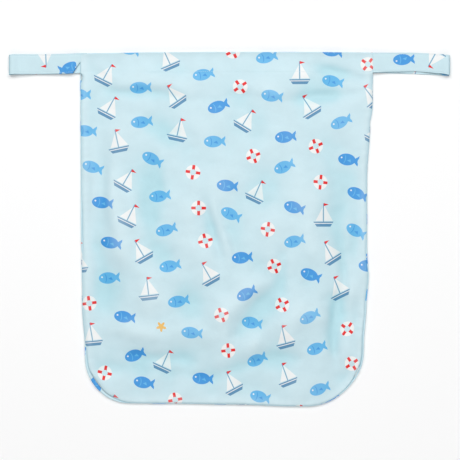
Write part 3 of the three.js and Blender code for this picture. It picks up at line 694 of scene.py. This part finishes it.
def strap_points(loop, across, off):
    """Places points of the strap at every station, and gives the way out of the cloth at each.

    across and off are as in the section's tables. Past the fold line the section rolls over and runs back.
    """
    away, height, swing, layer = loop_path(loop)
    run = np.gradient(np.stack([away, height], -1), axis=0)
    normal = unit(np.stack([-run[:, 1], run[:, 0]], -1))
    near = ease(1 - away / (10 * MM))
    wall = (STRAP_WALL + (ROOT_WALL - STRAP_WALL) * near)[:, None]
    tucked = loop["tuck"] * np.clip(1 - away / TUCK_REACH, 0, 1) * (layer == 0)
    fold_line = (STRAP_WIDTH * (1 - tucked))[:, None]
    radius = (FOLD_RADIUS - FOLD_PRESS * near)[:, None]
    width = 1 + (read_table(loop["width"], np.clip(away / loop["reach"], 0, 1)) - 1) * (1 - layer)
    across = across * width[:, None]
    rest = np.maximum(across - fold_line, 0)
    room = math.pi * radius + FLAP_ROOM
    rest *= np.minimum(1, room / np.maximum(STRAP_WIDTH - fold_line, 1e-6))
    turn = np.clip(rest / radius, 0, math.pi)
    down = np.minimum(across, fold_line) + radius * np.sin(turn) - np.maximum(rest - math.pi * radius, 0)
    sunk = radius * (1 - np.cos(turn))
    stand = off * wall / 2 * strap_dent(across)
    bend = waves(away[:, None] + 0.3 * across, across + layer[:, None], BEND_LENGTH, seed=43) * BEND_HEIGHT
    bend = bend * (ease(away / (12 * MM)) * (layer == 0))[:, None]
    rise = stand * np.cos(turn) - sunk + bend
    x = loop["side"] * (half_width + away[:, None] + normal[:, :1] * rise)
    y = half_length - LOOP_DROP + swing[:, None] - down - stand * np.sin(turn)
    z = height[:, None] + normal[:, 1:] * rise
    level = np.cos(turn)
    way = np.stack([loop["side"] * normal[:, :1] * level, -np.sin(turn), normal[:, 1:] * level], -1)
    return np.stack([x + bag_centre[0], y + bag_centre[1], z], -1), way * np.sign(off)[..., None]


# %% The two loops
def strap_loop(name, loop, print_start):
    """Makes a closed loop of strap from its sections, with a cap at each end."""
    sections, _ = strap_points(loop, ring_across, ring_off)
    count, round_count = sections.shape[:2]
    index = np.arange(count * round_count).reshape(count, round_count)
    after = np.roll(index, -1, 1)
    sides = np.stack([index[:-1], after[:-1], after[1:], index[1:]], -1).reshape(-1, 4)
    half = round_count // 2
    first, back = index[0], index[0, ::-1]
    cap = np.stack([first[:half - 1], back[:half - 1], back[1:half], first[1:half]], -1)
    faces = np.concatenate([sides, cap, cap[:, ::-1] + index[-1, 0]])
    points = sections.reshape(-1, 3)
    along = np.concatenate([[0], np.cumsum(np.linalg.norm(np.diff(sections[:, 20], axis=0), axis=1))])
    ring = np.hypot(np.diff(ring_across), np.diff(ring_off) * STRAP_WALL / 2)
    ring = np.concatenate([[0], np.cumsum(ring), [ring.sum() + STRAP_WALL / 4]])
    flat = np.stack(np.broadcast_arrays(along[:, None], ring[None]), -1)
    corner = np.stack([flat[:-1, :-1], flat[:-1, 1:], flat[1:, 1:], flat[1:, :-1]], 2).reshape(-1, 4, 2)
    corner = np.concatenate([corner, np.repeat(flat[:1, :1], 4 * len(cap), 1).reshape(-1, 4, 2),
                             np.repeat(flat[-1:, :1], 4 * len(cap), 1).reshape(-1, 4, 2)])
    first, second, third = points[faces[:, 0]], points[faces[:, 1]], points[faces[:, 2]]
    if np.einsum("ij,ij->i", first, np.cross(second, third)).sum() < 0:
        faces, corner = faces[:, ::-1], corner[:, ::-1]
    bake = 0.01 + 0.98 * corner / [along[-1], ring[-1]]
    return mesh_piece(name, points, faces, corner + print_start, bake, np.zeros(len(faces), int))


left_strap = strap_loop("left_loop_strap", LOOPS["left"], (0.061, 0.31))
right_strap = strap_loop("right_loop_strap", LOOPS["right"], (0.413, 0.277))

# %% [markdown]
# ## The stitching
#
# The hem and both edges of each strap are held by rows of lockstitch in thread of the cloth's own colour.
# One by one they would be hundreds of small objects. Geometry Nodes repeats one stitch along any line:
# the line becomes a curve, it is sampled once every stitch, and a small grain of thread is set on each
# sample, turned along the line and away from the cloth. The result is then made into plain mesh, which
# the export needs.

# %% The tree that sews along a line
def add_node(tree, kind, inputs, **settings):
    """Adds a node to a tree, makes its settings, and sets or links its inputs."""
    node = tree.nodes.new(kind)
    for name, value in settings.items():
        setattr(node, name, value)
    for socket, value in inputs.items():
        if isinstance(value, bpy.types.NodeSocket):
            tree.links.new(value, node.inputs[socket])
        else:
            node.inputs[socket].default_value = value
    return node


sewing = bpy.data.node_groups.new("lockstitch rows", "GeometryNodeTree")
sewing.interface.new_socket("Geometry", in_out="INPUT", socket_type="NodeSocketGeometry")
sizes = {"Stitch pitch": 3 * MM, "Stitch length": 2.5 * MM, "Thread width": 0.36 * MM}
for socket_name, size in sizes.items():
    socket = sewing.interface.new_socket(socket_name, in_out="INPUT", socket_type="NodeSocketFloat")
    socket.default_value = size
sewing.interface.new_socket("Thread", in_out="INPUT", socket_type="NodeSocketMaterial")
sewing.interface.new_socket("Geometry", in_out="OUTPUT", socket_type="NodeSocketGeometry")
given = sewing.nodes.new("NodeGroupInput").outputs
row_curve = add_node(sewing, "GeometryNodeMeshToCurve", {"Mesh": given["Geometry"]})
sampled = add_node(sewing, "GeometryNodeResampleCurve", {"Curve": row_curve.outputs["Curve"],
                                                         "Length": given["Stitch pitch"]}, mode="LENGTH")
grain = add_node(sewing, "GeometryNodeMeshUVSphere", {"Segments": 8, "Rings": 4, "Radius": 0.5})
grain_size = add_node(sewing, "ShaderNodeCombineXYZ", {
    "X": given["Stitch length"], "Y": given["Thread width"], "Z": given["Thread width"]})
grain_shape = add_node(sewing, "GeometryNodeTransform", {"Geometry": grain.outputs["Mesh"],
                                                         "Scale": grain_size.outputs["Vector"]})
tangent = add_node(sewing, "GeometryNodeInputTangent", {})
way_out = add_node(sewing, "GeometryNodeInputNamedAttribute", {"Name": "way_out"}, data_type="FLOAT_VECTOR")
along_row = add_node(sewing, "FunctionNodeAlignRotationToVector", {"Vector": tangent.outputs[0]}, axis="X")
off_cloth = add_node(sewing, "FunctionNodeAlignRotationToVector", {
    "Rotation": along_row.outputs[0], "Vector": way_out.outputs["Attribute"]}, axis="Z", pivot_axis="X")
uneven = add_node(sewing, "FunctionNodeRandomValue", {"Min": (0.88, 0.85, 0.85), "Max": (1.08, 1.1, 1.1),
                                                      "Seed": 7}, data_type="FLOAT_VECTOR")
sewn = add_node(sewing, "GeometryNodeInstanceOnPoints", {
    "Points": sampled.outputs["Curve"], "Instance": grain_shape.outputs["Geometry"],
    "Rotation": off_cloth.outputs[0], "Scale": uneven.outputs["Value"]})
realized = add_node(sewing, "GeometryNodeRealizeInstances", {"Geometry": sewn.outputs["Instances"]})
threaded = add_node(sewing, "GeometryNodeSetMaterial", {"Geometry": realized.outputs["Geometry"],
                                                        "Material": given["Thread"]})
add_node(sewing, "NodeGroupOutput", {"Geometry": threaded.outputs["Geometry"]})


# %% Sewing rows onto a piece
def sew(name, rows_of_points, thread):
    """Sews along rows of (points, ways out of the cloth) and gives the stitches as one plain mesh."""
    line = bpy.data.meshes.new(name + " line")
    starts = np.cumsum([0] + [len(points) for points, _ in rows_of_points])
    edges = [(i, i + 1) for start, end in zip(starts, starts[1:]) for i in range(start, end - 1)]
    line.from_pydata(np.concatenate([points for points, _ in rows_of_points]).tolist(), edges, [])
    ways = line.attributes.new("way_out", "FLOAT_VECTOR", "POINT")
    ways.data.foreach_set("vector", np.concatenate([way for _, way in rows_of_points]).reshape(-1))
    seam = bpy.data.objects.new(name + " rows", line)
    bpy.context.collection.objects.link(seam)
    modifier = seam.modifiers.new("sewing", "NODES")
    modifier.node_group = sewing
    socket = next(item for item in sewing.interface.items_tree if item.name == "Thread")
    modifier[socket.identifier] = thread
    evaluated = seam.evaluated_get(bpy.context.evaluated_depsgraph_get())
    stitches = bpy.data.objects.new(name, bpy.data.meshes.new_from_object(evaluated))
    bpy.data.objects.remove(seam)
    bpy.context.collection.objects.link(stitches)
    stitches.data.polygons.foreach_set("use_smooth", np.ones(len(stitches.data.polygons), bool))
    print(f"{name}: {len(stitches.data.polygons)} faces, {len(stitches.data.vertices)} points")
    return stitches


# %% [markdown]
# ## Materials
#
# Everything here is one cloth: polyester knit, printed on its smooth side, with a clear film of
# polyurethane laminated to its back. The printed side is satin, with the fine ribs of the knit just
# showing. The film side is paler and glossier, and the print shows faintly through it. The print is drawn
# by nodes in the real size of the cloth, so it follows each piece as printed cloth does and is cut off at
# seams and folds.

# %% Colours from sRGB hex values
def linear(hex_colour):
    """Turns an sRGB hex colour into the linear colour that shaders work with."""
    shares = [int(hex_colour[i:i + 2], 16) / 255 for i in (1, 3, 5)]
    return (*[s / 12.92 if s <= 0.04045 else ((s + 0.055) / 1.055) ** 2.4 for s in shares], 1)


INKS = {
    "sky": linear("#64B5E6"), "deep": linear("#4197DC"), "slate": linear("#5C8FB4"),
    "red": linear("#E32222"), "yellow": linear("#E7B75E"), "white": linear("#EDEFEF"),
}
GROUND = linear("#C7E1E9")

# %% The motifs of the print, in millimetres from their middle
# A shape is a convex outline of corners, an oval (x, y, half width, half height) or a star (mean radius,
# swing of its arms). It may be kept inside one oval and have another cut out of it.
FISH = [
    {"ink": "sky", "corners": [(6.5, 0), (16, -7.4), (16, 7.4)], "cut": (18.2, 0, 3.6, 4.4)},
    {"ink": "sky", "oval": (-1.5, 0, 12.8, 8.2)},
    {"ink": "deep", "oval": (-5.8, 0, 2.8, 6), "cut": (-7, 0, 2.9, 6.5)},
    {"ink": "deep", "corners": [(-1, -1.3), (5.6, -3.5), (3.7, 1.1)]},
    {"ink": "white", "oval": (-9.6, 1.6, 1.2, 1.2)},
]
OTHER_TONE = {"sky": "deep", "deep": "sky", "white": "white"}
DEEP_FISH = [{**shape, "ink": OTHER_TONE[shape["ink"]]} for shape in FISH]
BOAT = [
    {"ink": "slate", "corners": [(-0.5, -7), (0.5, -7), (0.5, 18.5), (-0.5, 18.5)]},
    {"ink": "white", "corners": [(1.2, -5.8), (14, -5.8), (1.2, 16)]},
    {"ink": "white", "corners": [(-1.2, -5.8), (-1.2, 13), (-11.5, -5.8)]},
    {"ink": "red", "corners": [(0.5, 14.8), (8, 17), (0.5, 19.2)]},
    {"ink": "slate", "corners": [(-15, -7), (-10, -14), (10.5, -14), (15, -7)]},
    {"ink": "white", "corners": [(-13.6, -8.8), (-13.1, -9.9), (13.1, -9.9), (13.6, -8.8)]},
]
BUOY = [
    {"ink": "white", "oval": (0, 0, 10.4, 10.4), "cut": (0, 0, 4.2, 4.2)},
    *({"ink": "red", "corners": [(-a, -b), (a, -b), (a, b), (-a, b)], "inside": (0, 0, 10.4, 10.4),
       "cut": (0, 0, 4.2, 4.2)} for a, b in ((2, 11), (11, 2))),
]
STARFISH = [{"ink": "yellow", "star": (5.4, 2)}]
INK_EDGE = 0.3  # how soft a printed edge is

# %% Short ways to add a node that works something out
def math_node(tree, operation, *values, **settings):
    """Adds a math node and gives its result."""
    node = add_node(tree, "ShaderNodeMath", dict(enumerate(values)), operation=operation, **settings)
    return node.outputs[0]


def vector_node(tree, operation, *values):
    """Adds a vector math node and gives its result."""
    node = add_node(tree, "ShaderNodeVectorMath", dict(enumerate(values)), operation=operation)
    return node.outputs["Value" if operation in ("LENGTH", "DOT_PRODUCT") else "Vector"]


def mixed(tree, share, first, second, blend="MIX"):
    """Adds a node that mixes two colours and gives the mixture."""
    inputs = {0: share, 6: first, 7: second}
    return add_node(tree, "ShaderNodeMix", inputs, data_type="RGBA", blend_type=blend).outputs[2]


# %% Drawing one motif
STAR_ARMS = 5.0


def oval_distance(tree, place, oval):
    """Gives how far a place is outside an oval, less than 0 inside it."""
    centre_x, centre_y, half_across, half_up = oval
    moved = vector_node(tree, "SUBTRACT", place, (centre_x, centre_y, 1))
    reach = vector_node(tree, "LENGTH", vector_node(tree, "DIVIDE", moved, (half_across, half_up, 1)))
    size = min(half_across, half_up)
    return math_node(tree, "MULTIPLY_ADD", reach, size, -size)


def star_distance(tree, place, star):
    """Gives how far a place is outside a star with round arms."""
    mean, swing = star
    parts = add_node(tree, "ShaderNodeSeparateXYZ", {0: place}).outputs
    turn = math_node(tree, "MULTIPLY", math_node(tree, "ARCTAN2", parts["Y"], parts["X"]), STAR_ARMS)
    edge = math_node(tree, "MULTIPLY_ADD", math_node(tree, "COSINE", turn), swing, mean)
    flat = add_node(tree, "ShaderNodeCombineXYZ", {"X": parts["X"], "Y": parts["Y"]}).outputs[0]
    return math_node(tree, "SUBTRACT", vector_node(tree, "LENGTH", flat), edge)


def outline_distance(tree, place, corners):
    """Gives how far a place is outside a convex outline: the most that it is beyond any one side."""
    furthest = None
    for (ax, ay), (bx, by) in zip(corners, corners[1:] + corners[:1]):
        length = math.hypot(bx - ax, by - ay)
        out_x, out_y = (by - ay) / length, (ax - bx) / length
        side = vector_node(tree, "DOT_PRODUCT", place, (out_x, out_y, -out_x * ax - out_y * ay))
        furthest = side if furthest is None else math_node(tree, "MAXIMUM", furthest, side)
    return furthest


def draw_motif(tree, colour, place, shapes, shown):
    """Prints the shapes over a colour where shown is 1. place is x, y and 1, in millimetres."""
    distances = {"oval": oval_distance, "star": star_distance, "corners": outline_distance}
    for shape in shapes:
        kind = next(key for key in distances if key in shape)
        distance = distances[kind](tree, place, shape[kind])
        if "inside" in shape:
            distance = math_node(tree, "MAXIMUM", distance, oval_distance(tree, place, shape["inside"]))
        if "cut" in shape:
            beyond = math_node(tree, "MULTIPLY", oval_distance(tree, place, shape["cut"]), -1.0)
            distance = math_node(tree, "MAXIMUM", distance, beyond)
        cover = math_node(tree, "MULTIPLY_ADD", distance, -1 / INK_EDGE, 0.5, use_clamp=True)
        colour = mixed(tree, math_node(tree, "MULTIPLY", cover, shown), colour, INKS[shape["ink"]])
    return colour


# %% The tossed print: two lattices of cells, one motif to a cell
CELL = (104, 45)
ROW_SHIFT = 0.25  # of a cell, from row to row
LATTICE_TURN = math.radians(19)  # the rows run aslant, so they don't show


def toss(tree, colour, place, shift, seed, jitter, turn, kinds):
    """Prints one motif in each cell, moved and turned at random. kinds: (shapes, least and most chance)."""
    about_z = {"rotation_type": "Z_AXIS"}
    aslant = add_node(tree, "ShaderNodeVectorRotate", {"Vector": place, "Angle": LATTICE_TURN}, **about_z)
    cells = vector_node(tree, "DIVIDE", aslant.outputs[0], (*CELL, 1))
    parts = add_node(tree, "ShaderNodeSeparateXYZ", {0: cells}).outputs
    slid = math_node(tree, "MULTIPLY_ADD", math_node(tree, "FLOOR", parts["Y"]), ROW_SHIFT, shift)
    slid = math_node(tree, "ADD", parts["X"], slid)
    cells = add_node(tree, "ShaderNodeCombineXYZ", {"X": slid, "Y": parts["Y"]}).outputs[0]
    seeded = vector_node(tree, "ADD", vector_node(tree, "FLOOR", cells), (0.5, 0.5, seed))
    chance = add_node(tree, "ShaderNodeTexWhiteNoise", {"Vector": seeded}, noise_dimensions="3D").outputs
    away = vector_node(tree, "SUBTRACT", chance["Color"], (0.5, 0.5, 0.5))
    aside = vector_node(tree, "MULTIPLY", away, (2 * jitter[0], 2 * jitter[1], 0))
    within = vector_node(tree, "FRACTION", cells)
    local = vector_node(tree, "MULTIPLY_ADD", within, (*CELL, 0), (-CELL[0] / 2, -CELL[1] / 2, 0))
    local = vector_node(tree, "SUBTRACT", local, aside)
    third = add_node(tree, "ShaderNodeSeparateXYZ", {0: away}).outputs["Z"]
    angle = math_node(tree, "MULTIPLY_ADD", third, 2 * turn, -LATTICE_TURN)
    turned = add_node(tree, "ShaderNodeVectorRotate", {"Vector": local, "Angle": angle}, **about_z)
    lifted = vector_node(tree, "ADD", turned.outputs[0], (0, 0, 1))
    for shapes, first, last in kinds:
        above = math_node(tree, "GREATER_THAN", chance["Value"], first)
        below = math_node(tree, "LESS_THAN", chance["Value"], last)
        colour = draw_motif(tree, colour, lifted, shapes, math_node(tree, "MULTIPLY", above, below))
    return colour


tossed_print = bpy.data.node_groups.new("tossed print", "ShaderNodeTree")
tossed_print.interface.new_socket("Place", in_out="INPUT", socket_type="NodeSocketVector")
tossed_print.interface.new_socket("Color", in_out="OUTPUT", socket_type="NodeSocketColor")
print_place = tossed_print.nodes.new("NodeGroupInput").outputs["Place"]
print_colour = add_node(tossed_print, "ShaderNodeRGB", {})
print_colour.outputs[0].default_value = GROUND
printed = toss(tossed_print, print_colour.outputs[0], print_place, shift=0, seed=3, jitter=(9, 7), turn=0.5,
               kinds=[(FISH, -1, 0.55), (DEEP_FISH, 0.55, 2)])
printed = toss(tossed_print, printed, print_place, shift=0.5, seed=8, jitter=(8, 3), turn=0.7,
               kinds=[(BOAT, -1, 0.56), (BUOY, 0.56, 0.9), (STARFISH, 0.9, 2)])
add_node(tossed_print, "NodeGroupOutput", {"Color": printed})
print(f"the print is drawn by {len(tossed_print.nodes)} nodes")


# %% A material that knows its place on the cloth
def new_material(name):
    """Makes a material and gives its tree, its surface shader and the place on the cloth in millimetres."""
    material = bpy.data.materials.new(name)
    material.use_nodes = True
    tree = material.node_tree
    cloth = add_node(tree, "ShaderNodeUVMap", {}, uv_map="cloth").outputs[0]
    place = add_node(tree, "ShaderNodeVectorMath", {0: cloth, "Scale": 1 / MM}, operation="SCALE")
    return material, tree, tree.nodes["Principled BSDF"], place.outputs[0]


# %% Printed polyester knit: satin, with fine ribs, soft unevenness, painted shade on steep and low cloth and a painted highlight on the fold tops
RIB_PITCH = 0.9  # the knit's ribs are about 0.5 mm apart, but ones so fine wouldn't show
# Wave textures repeat 20 / (2 pi) times in each unit at a scale of 1
RIB_SCALE = 2 * math.pi / 20 / RIB_PITCH
COURSE_SHARE = 0.8  # of the ribs' pitch, between the courses that cross them


def make_knit(name, roughness, level_share, steep_shade_tint):
    """Makes printed knit. Cloth that is less level than level_share takes more and more of the steep shade
    tint, a painted shade.
    """
    material, tree, shader, place = new_material(name)
    print_group = add_node(tree, "ShaderNodeGroup", {"Place": place}, node_tree=tossed_print)
    # The dye took a little unevenly, so plain areas aren't one flat colour
    dye = add_node(tree, "ShaderNodeTexNoise", {
        "Vector": place, "Scale": 0.035, "Detail": 4.0, "Roughness": 0.6})
    dye_tone = add_node(tree, "ShaderNodeMapRange", {
        "Value": dye.outputs["Fac"], "From Min": 0.3, "From Max": 0.7, "To Min": 0.965, "To Max": 1.02})
    toned = add_node(tree, "ShaderNodeVectorMath", {
        0: print_group.outputs["Color"], "Scale": dye_tone.outputs[0]}, operation="SCALE")
    # Painted shade: steep cloth, and cloth low in the folds, gets a deeper blue-green colour, as though
    # shaded.
    # Painted highlight: the tops of the folds get a paler colour.
    normal = add_node(tree, "ShaderNodeTexCoord", {}).outputs["Normal"]
    level = math_node(tree, "ABSOLUTE", add_node(tree, "ShaderNodeSeparateXYZ", {0: normal}).outputs["Z"])
    steep = add_node(tree, "ShaderNodeMapRange", {"Value": level, "From Min": level_share, "From Max": 0.3})
    colour = mixed(tree, steep.outputs[0], toned.outputs[0], linear(steep_shade_tint), "MULTIPLY")
    folded = add_node(tree, "ShaderNodeAttribute", {}, attribute_name="fold_height").outputs["Fac"]
    smooth_step = {"interpolation_type": "SMOOTHSTEP"}
    # Painted shade where the cloth lies low in a fold, painted highlight where it stands high
    low = add_node(tree, "ShaderNodeMapRange", {
        "Value": folded, "From Min": 0.3, "From Max": -3.8, "To Max": 0.85}, **smooth_step)
    high = add_node(tree, "ShaderNodeMapRange", {
        "Value": folded, "From Min": -0.3, "From Max": 4.0, "To Max": 0.13}, **smooth_step)
    colour = mixed(tree, low.outputs[0], colour, linear("#E4F8FA"), "MULTIPLY")
    colour = mixed(tree, high.outputs[0], colour, linear("#F4FBFC"))
    tree.links.new(colour, shader.inputs["Base Color"])
    # The knit's small loops break up the gloss. A fine crinkle keeps broad faces from looking like plastic.
    ribs = add_node(tree, "ShaderNodeTexWave", {
        "Vector": place, "Scale": RIB_SCALE, "Distortion": 0.6, "Detail": 1.0}, bands_direction="X")
    courses = add_node(tree, "ShaderNodeTexWave", {
        "Vector": place, "Scale": RIB_SCALE / COURSE_SHARE, "Distortion": 0.6, "Detail": 1.0},
        bands_direction="Y")
    loops = math_node(tree, "MULTIPLY", ribs.outputs["Fac"], courses.outputs["Fac"])
    crinkle = add_node(tree, "ShaderNodeTexNoise", {"Vector": place, "Scale": 0.16, "Detail": 3.0})
    relief = add_node(tree, "ShaderNodeBump", {"Height": loops, "Distance": 0.05 * MM, "Strength": 0.6})
    relief = add_node(tree, "ShaderNodeBump", {
        "Height": crinkle.outputs["Fac"], "Distance": 0.25 * MM, "Strength": 0.5,
        "Normal": relief.outputs[0]})
    tree.links.new(relief.outputs[0], shader.inputs["Normal"])
    shader.inputs["Roughness"].default_value = roughness
    shader.inputs["IOR"].default_value = 1.46
    shader.inputs["Specular IOR Level"].default_value = 0.35
    return material


# The steep tint here is a painted shade on cloth that slopes
printed_knit = make_knit("printed polyester knit", 0.42, 0.99, "#DCF3FA")
# The straps are the same cloth, pressed, so it is a little duller, with a stronger painted shade at its steep
# hard folds
strap_knit = make_knit("printed polyester knit, pressed", 0.5, 0.85, "#9CCEDB")

# %% Polyurethane film: pale and smooth, with the print's ghost behind it
laminate_film, tree, shader, place = new_material("polyurethane laminate film")
ghost = add_node(tree, "ShaderNodeGroup", {"Place": place}, node_tree=tossed_print)
milky = mixed(tree, 0.72, ghost.outputs["Color"], linear("#E6EEF0"))
tree.links.new(milky, shader.inputs["Base Color"])
crinkle = add_node(tree, "ShaderNodeTexNoise", {"Vector": place, "Scale": 0.22, "Detail": 5.0})
relief = add_node(tree, "ShaderNodeBump", {
    "Height": crinkle.outputs["Fac"], "Distance": 0.5 * MM, "Strength": 0.6})
tree.links.new(relief.outputs[0], shader.inputs["Normal"])
shader.inputs["Roughness"].default_value = 0.3
shader.inputs["IOR"].default_value = 1.49
shader.inputs["Coat Weight"].default_value = 0.2

# %% Polyester thread: twisted, so its gloss is broken up
sewing_thread, tree, shader, _ = new_material("polyester sewing thread")
where = add_node(tree, "ShaderNodeTexCoord", {}).outputs["Object"]
twist = add_node(tree, "ShaderNodeTexNoise", {"Vector": where, "Scale": 900.0, "Detail": 1.0})
strand = mixed(tree, twist.outputs["Fac"], linear("#B9D8E2"), linear("#DCEFF4"))
tree.links.new(strand, shader.inputs["Base Color"])
shader.inputs["Roughness"].default_value = 0.5

# %% Put the materials on, and sew
for panel in (front_panel, back_panel):
    panel.data.materials.append(printed_knit)
    panel.data.materials.append(laminate_film)
for strap in (left_strap, right_strap):
    strap.data.materials.append(strap_knit)


THREAD_LIFT = 0.12 * MM  # the middle of the thread, off the cloth


def hem_row(points, quads, row_steps, column_count, side):
    """Gives the row of points at the hem's stitching, raised off the cloth, and the way out there."""
    row = np.argmin(np.abs(row_steps * left_run - HEM_ROW))
    chosen = slice(row * column_count + 5, (row + 1) * column_count - 5)
    way = side * point_normals(points, quads)[chosen]
    return points[chosen] + THREAD_LIFT * way, way


hem_stitches = sew("hem_stitches", [
    hem_row(front_outer, front_quads, rows, len(columns), 1),
    hem_row(front_inner, front_quads, rows, len(columns), -1),
    hem_row(back_outer, back_quads, back_rows, len(back_columns), -1),
    hem_row(back_inner, back_quads, back_rows, len(back_columns), 1),
], sewing_thread)


def strap_rows(loop):
    """Gives the two rows of stitching on each face of a loop."""
    found = []
    for row in (EDGE_ROW, STRAP_WIDTH - EDGE_ROW):
        for face in (1, -1):
            points, way = strap_points(loop, np.array([row]), np.array([1.02 * face]))
            found.append((points[5:-5, 0], way[5:-5, 0]))
    return found


left_stitches = sew("left_loop_stitches", strap_rows(LOOPS["left"]), sewing_thread)
right_stitches = sew("right_loop_stitches", strap_rows(LOOPS["right"]), sewing_thread)

# %% [markdown]
# ## Floor, light and camera
#
# The bag is photographed from straight above on a white ground. Two soft keys stand beyond the mouth, so
# each fold has a bright and a dark side. A wide light overhead, a weaker one in front and a white
# surround fill the shadows. A long lens from two metres away shows the bag almost without perspective.

# %% The floor
floor_mesh = bpy.data.meshes.new("floor")
corners = [(-8, -8, -0.1 * MM), (8, -8, -0.1 * MM), (8, 8, -0.1 * MM), (-8, 8, -0.1 * MM)]
floor_mesh.from_pydata(corners, [], [(0, 1, 2, 3)])
floor = bpy.data.objects.new("floor", floor_mesh)
bpy.context.collection.objects.link(floor)
floor_paint = bpy.data.materials.new("matt white board")
floor_paint.use_nodes = True
paint = floor_paint.node_tree.nodes["Principled BSDF"].inputs
paint["Base Color"].default_value = linear("#FAFAFA")
paint["Roughness"].default_value = 0.9
floor_mesh.materials.append(floor_paint)

# %% Two soft keys, a wide light overhead, a fill in front and a dim surround
def soft_light(name, rise, turn, away, size, energy):
    """Hangs an area lamp that faces the bag, at an angle over the floor and round from the right."""
    rise, turn = math.radians(rise), math.radians(turn)
    way = Vector((math.cos(turn) * math.cos(rise), math.sin(turn) * math.cos(rise), math.sin(rise)))
    lamp = bpy.data.lights.new(name, "AREA")
    lamp.shape, lamp.size, lamp.size_y, lamp.energy = "RECTANGLE", *size, energy
    light = bpy.data.objects.new(name, lamp)
    light.location = way * away
    light.rotation_euler = way.to_track_quat("Z", "Y").to_euler()
    bpy.context.collection.objects.link(light)


soft_light("left key", 50, 124, 4, (2, 2), 52)
soft_light("right key", 50, 58, 4, (2, 2), 48)
soft_light("overhead", 84, 90, 4, (3, 3), 59.5)
soft_light("front fill", 42, 270, 4, (3, 2), 29)
world = bpy.data.worlds.new("dim white surround")
world.use_nodes = True
world.node_tree.nodes["Background"].inputs["Color"].default_value = (1, 1, 1, 1)
world.node_tree.nodes["Background"].inputs["Strength"].default_value = 0.17
bpy.context.scene.world = world
bpy.context.scene.view_settings.view_transform = "Standard"

# %% The camera, straight above
camera_data = bpy.data.cameras.new("camera")
camera_data.lens, camera_data.sensor_width = 120, 36
camera = bpy.data.objects.new("camera", camera_data)
camera.location = (0.0007, -0.00084, 2.16)
bpy.context.collection.objects.link(camera)
bpy.context.scene.camera = camera

# %% Tell the frame what each piece is
for piece in (front_panel, back_panel, left_strap, right_strap, hem_stitches, left_stitches, right_stitches):
    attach(piece, "root")
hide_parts("front_panel")
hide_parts("back_panel")
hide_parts("left_loop")
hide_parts("right_loop")
